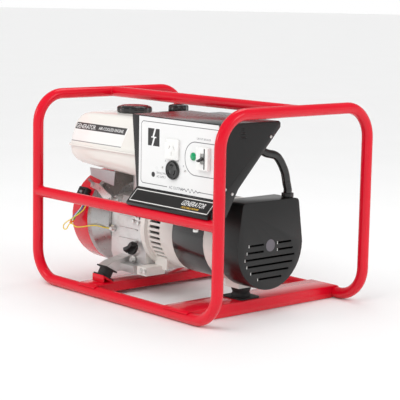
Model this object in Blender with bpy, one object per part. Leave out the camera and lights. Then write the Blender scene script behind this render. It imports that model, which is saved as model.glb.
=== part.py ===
"""Open-frame portable generator: a red tube frame carrying a small engine, an alternator and a control box.

Units are metres. +X runs from the recoil starter to the alternator end, -Y is the control panel side and
+Z is up. The origin is on the ground under the middle of the frame.
"""
import math

import bpy
import bmesh
import numpy as np
from mathutils import Matrix, Vector

# ---- clearances -------------------------------------------------------------------------------------
FIT_GAP = 0.0003            # between pieces that touch
RUNNING_GAP = 0.002         # around pieces that turn

# ---- tube frame -------------------------------------------------------------------------------------
FRAME_LENGTH = 0.670        # over the tubes
FRAME_WIDTH = 0.473
FRAME_HEIGHT = 0.464
TUBE_DIAMETER = 0.0254
BEND_RADIUS = 0.070         # to the tube's centre line
HOOP_SEAM_X = 0.010         # where the two hoops meet under the set
MID_RAIL_HEIGHT = 0.220
TUBE_SIDES = 16
BEND_STEPS = 6

# ---- cross channels and mounts ----------------------------------------------------------------------
SHEET_FRAME = 0.003
SADDLE_WRAP = 50            # degrees the channel laps over the rail's outer side
ENGINE_CHANNEL_WIDTH = 0.062
ENGINE_CHANNEL_DEPTH = 0.020
ALTERNATOR_CHANNEL_WIDTH = 0.080
ALTERNATOR_CHANNEL_DEPTH = 0.0275
ALTERNATOR_MOUNT_HEIGHT = 0.024
ALTERNATOR_MOUNT_RADIUS = 0.022
ALTERNATOR_FOOT_HEIGHT = 0.0078
ENGINE_MOUNT_TILT = math.radians(30)
ENGINE_MOUNT_RADIUS = 0.0165
ENGINE_MOUNT_LENGTH = 0.019
ENGINE_MOUNT_PLATE = 0.036
MOUNT_PLATE_THICKNESS = 0.002
ENGINE_MOUNT_RISE = 0.0200   # mount centre over the channel's top
ENGINE_MOUNT_SPREAD = 0.138  # mount centre in front of and behind the shaft

# ---- engine and alternator stations along the shaft ---------------------------------------------------
SET_SHIFT_X = -0.0085       # middle of the set from the middle of the frame
RAIL_TO_SHAFT = 0.183       # from the front rail back to the shaft
RECOIL_DEPTH = 0.020
FAN_COVER_DEPTH = 0.070
BLOWER_DEPTH = 0.050
CRANKCASE_LENGTH = 0.129
ADAPTER_LENGTH = 0.106
STATOR_LENGTH = 0.105
BELL_LENGTH = 0.049
COVER_LENGTH = 0.068

# ---- radii about the shaft --------------------------------------------------------------------------
FAN_RADIUS = 0.115
RECOIL_RADIUS = 0.100
PULLEY_RADIUS = 0.045
ROPE_RADIUS = 0.0020
ROPE_RISE = math.radians(20)
RECOIL_POST_RADIUS = 0.008
GRIP_START = 0.100          # pulley to the grip, along the rope
SHAFT_RADIUS = 0.0125
ADAPTER_FLANGE_RADIUS = 0.098
ADAPTER_RADIUS = 0.089
STATOR_RADIUS = 0.093
ROTOR_RADIUS = 0.062
COVER_RADIUS = 0.098
CASTING_WALL = 0.005
SHEET_WALL = 0.0025
COVER_WALL = 0.002
COVER_SLOT_ROWS = 6

# ---- crankcase and cylinder ---------------------------------------------------------------------------
SUMP_DEPTH = 0.106          # shaft to the underside
CRANKCASE_FRONT = 0.080     # shaft to the front face
CYLINDER_TILT = math.radians(25)
CYLINDER_START = 0.076      # shaft to the cylinder's seat, along the cylinder
CYLINDER_LENGTH = 0.074
HEAD_LENGTH = 0.030
ROCKER_LENGTH = 0.030
CYLINDER_HALF = 0.048
FIN_PITCH = 0.0085
FIN_THICKNESS = 0.0030

# ---- tank -------------------------------------------------------------------------------------------
TANK_FRONT = 0.124          # tank wall in front of the shaft
TANK_DEPTH = 0.205
TANK_RIGHT_X = -0.010
TANK_LENGTH = 0.277
TANK_SEAM_RISE = 0.175      # seam over the shaft
TANK_FLOOR_RISE = 0.118
TANK_FLOOR_FALL = 0.014
TANK_LIP = 0.004
TANK_LIP_THICKNESS = 0.004
TANK_HEADROOM = 0.0086
TANK_WALL = 0.0015
NECK_RADIUS = 0.022
CAP_RADIUS = 0.042
CAP_HEIGHT = 0.017
AIR_COVER_HEIGHT = 0.030
AIR_CASE_RISE = 0.0070       # underside of the air cleaner over the carburettor's mouth
MUFFLER_HEIGHT = 0.078

# ---- control box --------------------------------------------------------------------------------------
BOX_LEFT_X = 0.008
BOX_HOOP_GAP = 0.0115
BOX_FRONT_SETBACK = 0.021   # panel plane behind the front rail's centre line
BOX_DEPTH = 0.175
BOX_HEADROOM = 0.0086
BOX_SHEET = 0.0015
BOX_REAR_DROP = 0.014
BOX_LEFT_RAKE = 0.017
PANEL_MARGIN = 0.028
PANEL_THICKNESS = 0.0020
PANEL_RISE = 0.052          # panel's lower edge over the mid rail's centre line
NAME_PLATE_THICKNESS = 0.0012
BREAKER_WIDTH = 0.037
BREAKER_HEIGHT = 0.048
BREAKER_DEPTH = 0.009
TOGGLE_REST = math.radians(16)
OUTLET_SIZE = 0.0445
SOCKET_RADIUS = 0.0208
LAMP_RADIUS = 0.0085
CONDUIT_RADIUS = 0.0095
WIRE_RADIUS = 0.0012

# ---- places worked out from the sizes above -------------------------------------------------------------
TUBE_RADIUS = TUBE_DIAMETER / 2
HOOP_X = FRAME_LENGTH / 2 - TUBE_RADIUS
RAIL_Y = FRAME_WIDTH / 2 - TUBE_RADIUS
TOP_Z = FRAME_HEIGHT - TUBE_RADIUS
CHANNEL_TOP = TUBE_DIAMETER + FIT_GAP + SHEET_FRAME
SHAFT_Y = -RAIL_Y + RAIL_TO_SHAFT
SHAFT_Z = CHANNEL_TOP + ALTERNATOR_MOUNT_HEIGHT + ALTERNATOR_FOOT_HEIGHT + COVER_RADIUS
SET_LENGTH = (RECOIL_DEPTH + FAN_COVER_DEPTH + BLOWER_DEPTH + CRANKCASE_LENGTH
              + ADAPTER_LENGTH + STATOR_LENGTH + BELL_LENGTH + COVER_LENGTH)
RECOIL_FACE_X = SET_SHIFT_X - SET_LENGTH / 2
FAN_FACE_X = RECOIL_FACE_X + RECOIL_DEPTH
BLOWER_X = FAN_FACE_X + FAN_COVER_DEPTH
CRANKCASE_X = BLOWER_X + BLOWER_DEPTH
ADAPTER_X = CRANKCASE_X + CRANKCASE_LENGTH
STATOR_X = ADAPTER_X + ADAPTER_LENGTH
BELL_X = STATOR_X + STATOR_LENGTH
COVER_X = BELL_X + BELL_LENGTH
COVER_FACE_X = COVER_X + COVER_LENGTH
SUMP_Z = SHAFT_Z - SUMP_DEPTH
ENGINE_CHANNEL_X = CRANKCASE_X + 0.052
ALTERNATOR_CHANNEL_X = BELL_X + 0.027
TANK_SEAM_Z = SHAFT_Z + TANK_SEAM_RISE
TANK_FLOOR_Z = SHAFT_Z + TANK_FLOOR_RISE
TANK_TOP_Z = FRAME_HEIGHT - TUBE_DIAMETER - TANK_HEADROOM - CAP_HEIGHT
TANK_FRONT_Y = SHAFT_Y - TANK_FRONT
TANK_BACK_Y = TANK_FRONT_Y + TANK_DEPTH
TANK_LEFT_X = TANK_RIGHT_X - TANK_LENGTH
BOX_RIGHT_X = HOOP_X - TUBE_RADIUS - BOX_HOOP_GAP
BOX_FRONT_Y = -RAIL_Y + BOX_FRONT_SETBACK
BOX_REAR_Y = BOX_FRONT_Y + BOX_DEPTH
BOX_TOP_Z = FRAME_HEIGHT - TUBE_DIAMETER - BOX_HEADROOM
BOX_FLOOR_Z = MID_RAIL_HEIGHT + TUBE_RADIUS + FIT_GAP
PANEL_BOTTOM_Z = MID_RAIL_HEIGHT + PANEL_RISE
PANEL_FACE_Y = BOX_FRONT_Y - FIT_GAP - PANEL_THICKNESS

RED = ("frame red", (0.72, 0.012, 0.030), 0.22, 0.0)
TANK_WHITE = ("tank white", (0.86, 0.83, 0.77), 0.30, 0.0)
CAST = ("cast aluminium", (0.62, 0.61, 0.60), 0.48, 0.85)
CREAM = ("cream casting", (0.80, 0.77, 0.72), 0.55, 0.0)
BLACK_PAINT = ("black paint", (0.020, 0.019, 0.019), 0.22, 0.0)
BLACK_TEXTURE = ("black powder coat", (0.024, 0.023, 0.023), 0.50, 0.0)
BLACK_PLASTIC = ("black plastic", (0.018, 0.018, 0.018), 0.35, 0.0)
RUBBER = ("rubber", (0.030, 0.029, 0.028), 0.75, 0.0)
ZINC = ("zinc plate", (0.70, 0.70, 0.68), 0.30, 1.0)
STEEL = ("steel", (0.50, 0.50, 0.50), 0.38, 1.0)
WHITE = ("panel white", (0.88, 0.88, 0.87), 0.35, 0.0)
GREEN = ("lamp green", (0.02, 0.55, 0.22), 0.12, 0.0)
YELLOW = ("wire yellow", (0.85, 0.68, 0.08), 0.45, 0.0)
HOT_STEEL = ("aluminised steel", (0.45, 0.44, 0.42), 0.50, 1.0)


# ---- shared shape tools -----------------------------------------------------------------------------
def clear_scene():
    """Remove whatever the start-up scene holds."""
    for item in list(bpy.data.objects):
        bpy.data.objects.remove(item, do_unlink=True)


def material(finish):
    """One Principled material per finish, made the first time it is asked for."""
    name, colour, roughness, metallic = finish
    found = bpy.data.materials.get(name)
    if found:
        return found
    made = bpy.data.materials.new(name)
    made.use_nodes = True
    shader = made.node_tree.nodes["Principled BSDF"]
    shader.inputs["Base Color"].default_value = (*colour, 1.0)
    shader.inputs["Roughness"].default_value = roughness
    shader.inputs["Metallic"].default_value = metallic
    made.diffuse_color = (*colour, 1.0)
    return made


def place(name, shape, finish, origin=(0, 0, 0)):
    """Turn a bmesh in world coordinates into an object whose own origin is at the given point."""
    bmesh.ops.recalc_face_normals(shape, faces=shape.faces[:])
    bmesh.ops.translate(shape, verts=shape.verts[:], vec=-Vector(origin))
    mesh = bpy.data.meshes.new(name)
    shape.to_mesh(mesh)
    shape.free()
    mesh.shade_smooth()
    mesh.set_sharp_from_angle(angle=math.radians(35))
    item = bpy.data.objects.new(name, mesh)
    item.location = origin
    bpy.context.collection.objects.link(item)
    item.data.materials.append(material(finish) if finish else None)
    return item


def tool(shape, name):
    """A hidden solid that only shapes another piece."""
    item = place(name, shape, STEEL)
    item.hide_render = True
    item.display_type = 'WIRE'
    return item


def shaped(item, shape, operation):
    """Cut a solid from a piece, or weld one to it."""
    helper = tool(shape, item.name + "_" + operation.lower() + str(len(item.modifiers)))
    step = item.modifiers.new(operation.title(), 'BOOLEAN')
    step.operation = operation
    step.solver = 'EXACT'
    step.object = helper
    return item


def cut(item, *shapes):
    for shape in shapes:
        shaped(item, shape, 'DIFFERENCE')
    return item


def weld(item, *shapes):
    for shape in shapes:
        shaped(item, shape, 'UNION')
    return item


def rounded(item, width, segments=2, angle=40):
    """Soften the piece's outside edges."""
    step = item.modifiers.new("Edges", 'BEVEL')
    step.width = width
    step.segments = segments
    step.limit_method = 'ANGLE'
    step.angle_limit = math.radians(angle)
    return item


def skin(rings, closed_loop=False, caps=True):
    """Bridge rings of points that all have the same count, and cap the two end rings."""
    shape = bmesh.new()
    rows = [[shape.verts.new(p) for p in ring] for ring in rings]
    count = len(rows[0])
    pairs = list(zip(rows, rows[1:] + rows[:1])) if closed_loop else list(zip(rows, rows[1:]))
    for low, high in pairs:
        for i in range(count):
            j = (i + 1) % count
            shape.faces.new((low[i], low[j], high[j], high[i]))
    if caps and not closed_loop:
        shape.faces.new(rows[0][::-1])
        shape.faces.new(rows[-1])
    return shape


def prism(outline, plane, start, end):
    """Extrude a flat outline, given in the XY, XZ or YZ plane, along the third axis."""
    axis = {"YZ": 0, "XZ": 1, "XY": 2}[plane]
    rings = []
    for level in (start, end):
        ring = [Vector(np.insert(point, axis, level)) for point in outline]
        rings.append(ring)
    return skin(rings)


def box(low, high):
    outline = [(low[0], low[1]), (high[0], low[1]), (high[0], high[1]), (low[0], high[1])]
    return prism(outline, "XY", low[2], high[2])


def turned(profile, origin, axis, segments=32, ring=False):
    """Turn (distance, radius) points about an axis. A ring profile closes on itself round an open bore."""
    axis = Vector(axis).normalized()
    side = axis.orthogonal().normalized()
    other = axis.cross(side)
    shape = bmesh.new()
    rows = []
    for along, radius in profile:
        centre = Vector(origin) + axis * along
        if radius == 0:
            rows.append([shape.verts.new(centre)])
            continue
        angles = [2 * math.pi * i / segments for i in range(segments)]
        rows.append([shape.verts.new(centre + side * radius * math.cos(a) + other * radius * math.sin(a))
                     for a in angles])
    pairs = list(zip(rows, rows[1:]))
    if ring:
        pairs.append((rows[-1], rows[0]))
    for low, high in pairs:
        for i in range(segments):
            j = (i + 1) % segments
            corners = [low[i % len(low)], low[j % len(low)], high[j % len(high)], high[i % len(high)]]
            unique = list(dict.fromkeys(corners))
            if len(unique) > 2:
                shape.faces.new(unique)
    return shape


def disc(origin, axis, radius, length, segments=24):
    return turned([(0, 0), (0, radius), (length, radius), (length, 0)], origin, axis, segments)


def hexagon(origin, axis, across_flats, length):
    return disc(origin, axis, across_flats / math.sqrt(3), length, 6)


def about_shaft(profile, segments=32, ring=False):
    """Turn (x, radius) points about the shaft."""
    return turned(profile, (0, SHAFT_Y, SHAFT_Z), (1, 0, 0), segments, ring)


def merged(*shapes):
    """Put shapes that don't touch into one tool."""
    total = bmesh.new()
    for shape in shapes:
        mesh = bpy.data.meshes.new("part")
        shape.to_mesh(mesh)
        shape.free()
        total.from_mesh(mesh)
        bpy.data.meshes.remove(mesh)
    return total


def turned_about(shape, point, axis, angle):
    """Turn a shape about a line."""
    matrix = Matrix.Translation(point) @ Matrix.Rotation(angle, 4,
                                                         Vector(axis)) @ Matrix.Translation(-Vector(point))
    bmesh.ops.transform(shape, matrix=matrix, verts=shape.verts[:])
    return shape


def rounded_outline(low, high, radius, steps=4):
    """A rectangle with round corners, as points that run anticlockwise."""
    centres = [(high[0] - radius, high[1] - radius), (low[0] + radius, high[1] - radius),
               (low[0] + radius, low[1] + radius), (high[0] - radius, low[1] + radius)]
    points = []
    for quarter, (u, v) in enumerate(centres):
        for i in range(steps + 1):
            angle = math.pi / 2 * (quarter + i / steps)
            points.append((u + radius * math.cos(angle), v + radius * math.sin(angle)))
    return points


def inset_outline(points, distance):
    """Move every side of a flat outline inwards by one distance, keeping the corners sharp."""
    count = len(points)
    area = sum(points[i][0] * points[(i + 1) % count][1] - points[(i + 1) % count][0] * points[i][1]
               for i in range(count))
    turn = 1 if area > 0 else -1
    moved = []
    for i in range(count):
        here = Vector(points[i])
        ahead = (Vector(points[(i + 1) % count]) - here).normalized()
        behind = (here - Vector(points[i - 1])).normalized()
        inward = Vector((-ahead.y, ahead.x)) * turn
        mitre = (inward + Vector((-behind.y, behind.x)) * turn).normalized()
        moved.append(tuple(here + mitre * distance / mitre.dot(inward)))
    return moved


def arc(centre, radius, start, end, steps):
    """Points on an arc, angles in degrees."""
    angles = [math.radians(start + (end - start) * i / steps) for i in range(steps + 1)]
    return [(centre[0] + radius * math.cos(a), centre[1] + radius * math.sin(a)) for a in angles]


def pipe(points, radius, sides=TUBE_SIDES):
    """A round bar swept along a path, with rings that turn with the path and never twist."""
    points = [Vector(p) for p in points]
    tangents = []
    for i in range(len(points)):
        ahead = points[min(i + 1, len(points) - 1)]
        behind = points[max(i - 1, 0)]
        tangents.append((ahead - behind).normalized())
    side = tangents[0].orthogonal().normalized()
    rings = []
    for point, tangent in zip(points, tangents):
        side = (side - tangent * side.dot(tangent)).normalized()
        other = tangent.cross(side)
        ring = []
        for i in range(sides):
            angle = 2 * math.pi * i / sides
            ring.append(point + side * radius * math.cos(angle) + other * radius * math.sin(angle))
        rings.append(ring)
    return skin(rings)


def round_tube(name, points, radius, finish, sides=TUBE_SIDES):
    return place(name, pipe(points, radius, sides), finish)


def bend(corner, incoming, outgoing, radius, steps=BEND_STEPS):
    """Centre-line points of a right-angle bend that replaces a corner."""
    corner = Vector(corner)
    incoming = Vector(incoming)
    outgoing = Vector(outgoing)
    centre = corner - incoming * radius + outgoing * radius
    points = []
    for i in range(steps + 1):
        angle = math.pi / 2 * i / steps
        points.append(centre - outgoing * radius * math.cos(angle) + incoming * radius * math.sin(angle))
    return points


def smooth_route(points, steps=5):
    """A soft curve through hand-chosen points."""
    points = [Vector(p) for p in points]
    padded = [points[0] * 2 - points[1]] + points + [points[-1] * 2 - points[-2]]
    route = []
    for a, b, c, d in zip(padded, padded[1:], padded[2:], padded[3:]):
        for i in range(steps):
            t = i / steps
            route.append(0.5 * ((2 * b) + (c - a) * t + (2 * a - 5 * b + 4 * c - d) * t * t
                                + (3 * b - a - 3 * c + d) * t ** 3))
    route.append(points[-1])
    return route


def coped_rail(name, start_x, end_x, y, z, crossing):
    """A straight rail whose two ends are cut to sit against crossing tubes.

    The crossing tubes run along Y or Z and are as thick as the rail. Each end face is a strip of flat
    facets that run parallel to the crossing tube, so the rail follows the tube at one even gap.
    """
    sides = 24
    reach = TUBE_RADIUS + FIT_GAP
    shape = bmesh.new()
    rows = []
    for sign, x in ((1, start_x), (-1, end_x)):
        row = []
        for i in range(sides):
            angle = 2 * math.pi * (i + 0.5) / sides
            dy = TUBE_RADIUS * math.cos(angle)
            dz = TUBE_RADIUS * math.sin(angle)
            offset = dz if crossing == 'Y' else dy
            row.append(shape.verts.new((x + sign * math.sqrt(reach ** 2 - offset ** 2), y + dy, z + dz)))
        rows.append(row)
    for i in range(sides):
        j = (i + 1) % sides
        shape.faces.new((rows[0][i], rows[0][j], rows[1][j], rows[1][i]))
    for row in rows:
        for i in range(sides // 2 - 1):
            if crossing == 'Y':
                a, b = i - sides // 4, i + 1 - sides // 4
                c, d = sides // 2 - 1 - b, sides // 2 - 1 - a
            else:
                a, b = i, i + 1
                c, d = sides - 1 - b, sides - 1 - a
            corners = [row[k % sides] for k in (a, b, c, d)]
            shape.faces.new(corners)
    return place(name, shape, RED)


# ---- frame --------------------------------------------------------------------------------------------
def hoop(name, side):
    """One tube bent into an upside-down U, whose two feet turn in under the set to the seam."""
    x = side * HOOP_X
    seam = HOOP_SEAM_X + side * FIT_GAP / 2
    inward = (-side, 0, 0)
    outward = (side, 0, 0)
    path = [Vector((seam, -RAIL_Y, TUBE_RADIUS))]
    path += bend((x, -RAIL_Y, TUBE_RADIUS), outward, (0, 0, 1), BEND_RADIUS)
    path += bend((x, -RAIL_Y, TOP_Z), (0, 0, 1), (0, 1, 0), BEND_RADIUS)
    path += bend((x, RAIL_Y, TOP_Z), (0, 1, 0), (0, 0, -1), BEND_RADIUS)
    path += bend((x, RAIL_Y, TUBE_RADIUS), (0, 0, -1), inward, BEND_RADIUS)
    path.append(Vector((seam, RAIL_Y, TUBE_RADIUS)))
    return round_tube(name, path, TUBE_RADIUS, RED)


def rail_saddle(side, depth):
    """Outline of a channel's end, in Y and Z: it laps over the rail and hugs the rail's inner side."""
    steps = 8
    low = CHANNEL_TOP - depth
    foot = math.degrees(math.asin((low - TUBE_RADIUS) / (TUBE_RADIUS + FIT_GAP)))
    lap = 90 + SADDLE_WRAP
    reach = (TUBE_RADIUS + FIT_GAP) / math.cos(math.radians((lap - foot) / steps / 2))
    outside = arc((0, TUBE_RADIUS), CHANNEL_TOP - TUBE_RADIUS, 90, lap, 4)
    inside = arc((0, TUBE_RADIUS), reach, lap, foot, steps)
    points = outside + inside
    if side > 0:
        points = [(-y, z) for y, z in reversed(points)]
    return [(y + side * RAIL_Y, z) for y, z in points]


def cross_channel(name, centre_x, width, depth):
    """Folded channel, open below, that lies over both bottom rails and is welded to them."""
    left = centre_x - width / 2
    right = centre_x + width / 2
    item = place(name, prism(rail_saddle(-1, depth) + rail_saddle(1, depth), "YZ", left, right), RED)
    hollow_end = RAIL_Y - TUBE_RADIUS - SHEET_FRAME
    return cut(item, box((left + SHEET_FRAME, -hollow_end, -SHEET_FRAME),
                         (right - SHEET_FRAME, hollow_end, CHANNEL_TOP - SHEET_FRAME)))


def mount_frame(side):
    """Centre, downward axis and plate direction of a tilted engine mount, in Y and Z."""
    centre = Vector((SHAFT_Y + side * ENGINE_MOUNT_SPREAD, CHANNEL_TOP + ENGINE_MOUNT_RISE))
    axis = Vector((side * math.sin(ENGINE_MOUNT_TILT), -math.cos(ENGINE_MOUNT_TILT)))
    along = Vector((side * math.cos(ENGINE_MOUNT_TILT), math.sin(ENGINE_MOUNT_TILT)))
    return centre, axis, along


def mount_bracket(name, side):
    """Sheet bracket with a sloping seat, standing on the engine channel."""
    centre, axis, along = mount_frame(side)
    seat = centre + axis * (ENGINE_MOUNT_LENGTH / 2 + MOUNT_PLATE_THICKNESS + FIT_GAP)
    base = CHANNEL_TOP + FIT_GAP
    crest = seat + along * ENGINE_MOUNT_PLATE / 2
    toe = seat - along * (seat.y - base - SHEET_FRAME * 0.5) / math.sin(ENGINE_MOUNT_TILT)
    inner = crest.x - side * SHEET_FRAME
    outline = [(toe.x, base), (toe.x, toe.y), (crest.x, crest.y), (crest.x, base), (inner, base),
               (inner, crest.y - SHEET_FRAME * 2), (toe.x + side * SHEET_FRAME * 3, base)]
    width = ENGINE_MOUNT_PLATE + 0.006
    return place(name, prism(outline, "YZ", ENGINE_CHANNEL_X - width / 2, ENGINE_CHANNEL_X + width / 2),
                 RED)


def engine_mount(name, side):
    """Rubber cylinder between two square steel plates, tilted towards the shaft."""
    centre, axis, along = mount_frame(side)
    middle = Vector((ENGINE_CHANNEL_X, centre.x, centre.y))
    down = Vector((0, axis.x, axis.y))
    item = place(name, disc(middle - down * ENGINE_MOUNT_LENGTH / 2, down, ENGINE_MOUNT_RADIUS,
                            ENGINE_MOUNT_LENGTH), RUBBER)
    half = ENGINE_MOUNT_PLATE / 2
    overlap = 0.001
    for direction in (-1, 1):
        inner = centre + axis * direction * (ENGINE_MOUNT_LENGTH / 2 - overlap)
        outer = centre + axis * direction * (ENGINE_MOUNT_LENGTH / 2 + MOUNT_PLATE_THICKNESS)
        outline = [inner - along * half, inner + along * half, outer + along * half, outer - along * half]
        weld(item, prism(outline, "YZ", ENGINE_CHANNEL_X - half, ENGINE_CHANNEL_X + half))
    return item


def alternator_mount():
    """Round rubber block on a bolted base plate, under the alternator's foot."""
    base = CHANNEL_TOP + FIT_GAP
    plate = rounded_outline((ALTERNATOR_CHANNEL_X - 0.033, SHAFT_Y - 0.030),
                            (ALTERNATOR_CHANNEL_X + 0.033, SHAFT_Y + 0.030), 0.008, 3)
    item = place("alternator_mount", prism(plate, "XY", base, base + SHEET_FRAME), RUBBER)
    top = ALTERNATOR_MOUNT_HEIGHT - 2 * FIT_GAP
    waist = ALTERNATOR_MOUNT_RADIUS - 0.003
    profile = [(0.001, 0), (0.001, ALTERNATOR_MOUNT_RADIUS), (0.007, ALTERNATOR_MOUNT_RADIUS),
               (0.012, waist),
               (top - 0.004, ALTERNATOR_MOUNT_RADIUS), (top, ALTERNATOR_MOUNT_RADIUS), (top, 0)]
    weld(item, turned(profile, (ALTERNATOR_CHANNEL_X, SHAFT_Y, base), (0, 0, 1), 24))
    return item


def rail_screws():
    """Two hexagon screws that hold the control box's flange to the mid rail from below."""
    length = BOX_RIGHT_X - BOX_LEFT_X
    for name, share in (("rail_screw_left", 0.17), ("rail_screw_right", 0.84)):
        top = MID_RAIL_HEIGHT - TUBE_RADIUS - FIT_GAP
        place(name, hexagon((BOX_LEFT_X + length * share, -RAIL_Y, top - 0.006), (0, 0, 1), 0.011, 0.006),
              ZINC)


def build_frame():
    hoop("hoop_left", -1)
    hoop("hoop_right", 1)
    coped_rail("top_rail", -HOOP_X, HOOP_X, 0, TOP_Z, 'Y')
    coped_rail("mid_rail", -HOOP_X, HOOP_X, -RAIL_Y, MID_RAIL_HEIGHT, 'Z')
    cross_channel("channel_engine", ENGINE_CHANNEL_X, ENGINE_CHANNEL_WIDTH, ENGINE_CHANNEL_DEPTH)
    cross_channel("channel_alternator", ALTERNATOR_CHANNEL_X, ALTERNATOR_CHANNEL_WIDTH,
                  ALTERNATOR_CHANNEL_DEPTH)
    mount_bracket("mount_bracket_front", -1)
    mount_bracket("mount_bracket_rear", 1)
    engine_mount("engine_mount_front", -1)
    engine_mount("engine_mount_rear", 1)
    alternator_mount()
    rail_screws()


# ---- engine -------------------------------------------------------------------------------------------
def cylinder_point(along, across):
    """A point in Y and Z, measured from the shaft along the cylinder and square to it."""
    y = SHAFT_Y + along * math.cos(CYLINDER_TILT) - across * math.sin(CYLINDER_TILT)
    z = SHAFT_Z + along * math.sin(CYLINDER_TILT) + across * math.cos(CYLINDER_TILT)
    return (y, z)


def mount_pad(side):
    """Wedge on the crankcase whose sloping face seats a mount's upper plate."""
    centre, axis, along = mount_frame(side)
    face = centre - axis * (ENGINE_MOUNT_LENGTH / 2 + MOUNT_PLATE_THICKNESS + FIT_GAP)
    half = ENGINE_MOUNT_PLATE / 2 - 0.002
    outer = face + along * half
    inner = face - along * half
    root = SHAFT_Y + side * (CRANKCASE_FRONT - 0.012)
    outline = [(outer.x, outer.y), (inner.x, inner.y), (root, SUMP_Z + 0.001), (root, outer.y + 0.020),
               (outer.x - side * 0.018, outer.y + 0.008)]
    return prism(outline, "YZ", ENGINE_CHANNEL_X - half, ENGINE_CHANNEL_X + half)


def crankcase():
    """Cast block with a sump, feet, a sloping cylinder seat, front ribs and the posts under the tank."""
    start = CRANKCASE_X + FIT_GAP
    end = ADAPTER_X - FIT_GAP
    front = SHAFT_Y - CRANKCASE_FRONT
    seat_top = cylinder_point(CYLINDER_START, CYLINDER_HALF)
    seat_low = cylinder_point(CYLINDER_START, -CYLINDER_HALF)
    outline = [(front + 0.010, SUMP_Z), (SHAFT_Y + 0.075, SUMP_Z), (SHAFT_Y + 0.082, SHAFT_Z - 0.080),
               seat_low,
               seat_top, (SHAFT_Y + 0.010, SHAFT_Z + 0.070), (front + 0.020, SHAFT_Z + 0.062),
               (front, SHAFT_Z + 0.034), (front, SHAFT_Z - 0.072)]
    item = place("crankcase", prism(outline, "YZ", start, end), CAST)
    foot = box((CRANKCASE_X + 0.058, front - 0.026, SUMP_Z), (end - 0.012, front + 0.020, SUMP_Z + 0.017))
    rear_foot = box((CRANKCASE_X + 0.058, SHAFT_Y + 0.060, SUMP_Z),
                    (end - 0.012, SHAFT_Y + 0.100, SUMP_Z + 0.017))
    weld(item, foot, rear_foot, mount_pad(-1), mount_pad(1))
    for height in (-0.035, -0.010, 0.018):
        z = SHAFT_Z + height
        weld(item,
             box((start + 0.030, front - 0.003, z - 0.0015), (end - 0.030, front + 0.002, z + 0.0015)))
    neck = turned([(0, 0), (0, 0.016), (0.022, 0.016), (0.022, 0)], filler_point(0.020), filler_axis(), 20)
    weld(item, neck)
    weld(item, disc((start + 0.009, front + 0.004, SHAFT_Z - 0.017), (0, -1, 0), 0.008, 0.006, 16))
    pivot = governor_pivot()
    weld(item, disc((pivot.x, front + 0.030, pivot.z), (0, -1, 0), 0.008, 0.029, 16))
    for x, y in ((start + 0.054, front + 0.034), (end - 0.016, front + 0.034),
                 (end - 0.016, SHAFT_Y + 0.020)):
        weld(item,
             disc((x, y, SHAFT_Z + 0.040), (0, 0, 1), 0.010, tank_floor_z(x) - SHAFT_Z - 0.040 - 0.001, 16))
    cut(item,
        disc((start - 0.01, SHAFT_Y, SHAFT_Z), (1, 0, 0), SHAFT_RADIUS + RUNNING_GAP, end - start + 0.02))
    return item


def filler_axis():
    """The oil filler looks forwards and a little up."""
    return Vector((0, -math.cos(math.radians(20)), math.sin(math.radians(20))))


def filler_point(inset=0.0):
    mouth = Vector((ADAPTER_X - 0.038, SHAFT_Y - CRANKCASE_FRONT - 0.004, SHAFT_Z - 0.054))
    return mouth - filler_axis() * inset


def oil_filler_cap():
    """Screw cap with a flat T handle."""
    base = filler_point() + filler_axis() * (0.002 + FIT_GAP)
    item = place("oil_filler_cap", disc(base, filler_axis(), 0.0155, 0.007), BLACK_PLASTIC, base)
    handle = prism([(-0.019, 0.005), (-0.014, 0.020), (-0.004, 0.017), (0.004, 0.017), (0.014, 0.020),
                    (0.019, 0.005)], "XZ", -0.004, 0.004)
    spin = Vector((0, 0, 1)).rotation_difference(filler_axis()).to_matrix().to_4x4()
    turn = Matrix.Rotation(math.radians(35), 4, 'Z')
    bmesh.ops.transform(handle, matrix=Matrix.Translation(base) @ spin @ turn, verts=handle.verts[:])
    weld(item, handle)
    return item


def drain_bolt():
    point = (CRANKCASE_X + 0.084, SHAFT_Y - CRANKCASE_FRONT - FIT_GAP, SUMP_Z + 0.026)
    item = place("drain_bolt", disc(point, (0, -1, 0), 0.0085, 0.002, 16), ZINC)
    weld(item, hexagon((point[0], point[1] - 0.001, point[2]), (0, -1, 0), 0.011, 0.007))


def earth_bolt():
    """Earth screw with its washers on the crankcase's front corner."""
    front = SHAFT_Y - CRANKCASE_FRONT - 0.002
    point = (CRANKCASE_X + 0.0093, front - FIT_GAP, SHAFT_Z - 0.017)
    item = place("earth_bolt", disc(point, (0, -1, 0), 0.0085, 0.0025, 20), ZINC)
    weld(item, hexagon((point[0], point[1] - 0.002, point[2]), (0, -1, 0), 0.009, 0.0065))


def blower_housing():
    """Flared aluminium ring between the crankcase and the red fan cover."""
    start = BLOWER_X
    end = CRANKCASE_X - FIT_GAP
    outer = FAN_RADIUS
    wall = CASTING_WALL - 0.001
    throat = SHAFT_RADIUS + 0.010
    profile = [(start, outer), (start + 0.014, outer - 0.0005), (start + 0.032, outer - 0.014),
               (end, outer - 0.026),
               (end, throat), (end - wall, throat), (end - wall,
                                                     outer - 0.031), (start + 0.031, outer - 0.019),
               (start + 0.013, outer - wall), (start, outer - wall)]
    item = place("blower_housing", about_shaft(profile, 36, True), CAST)
    return item


def fan_cover():
    """Red pressed cover over the fan."""
    end = BLOWER_X - FIT_GAP
    face = FAN_FACE_X
    outer = FAN_RADIUS - 0.001
    inner = outer - SHEET_WALL
    mouth = RECOIL_RADIUS - 0.014
    profile = [(end, outer), (face + 0.012, outer - 0.002), (face + 0.004, outer - 0.004),
               (face, outer - 0.009),
               (face, mouth), (face + SHEET_WALL, mouth), (face + SHEET_WALL, outer - 0.010),
               (face + 0.0055, inner - 0.004), (face + 0.0125, inner - 0.002), (end, inner)]
    return place("fan_cover", about_shaft(profile, 36, True), RED)


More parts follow.
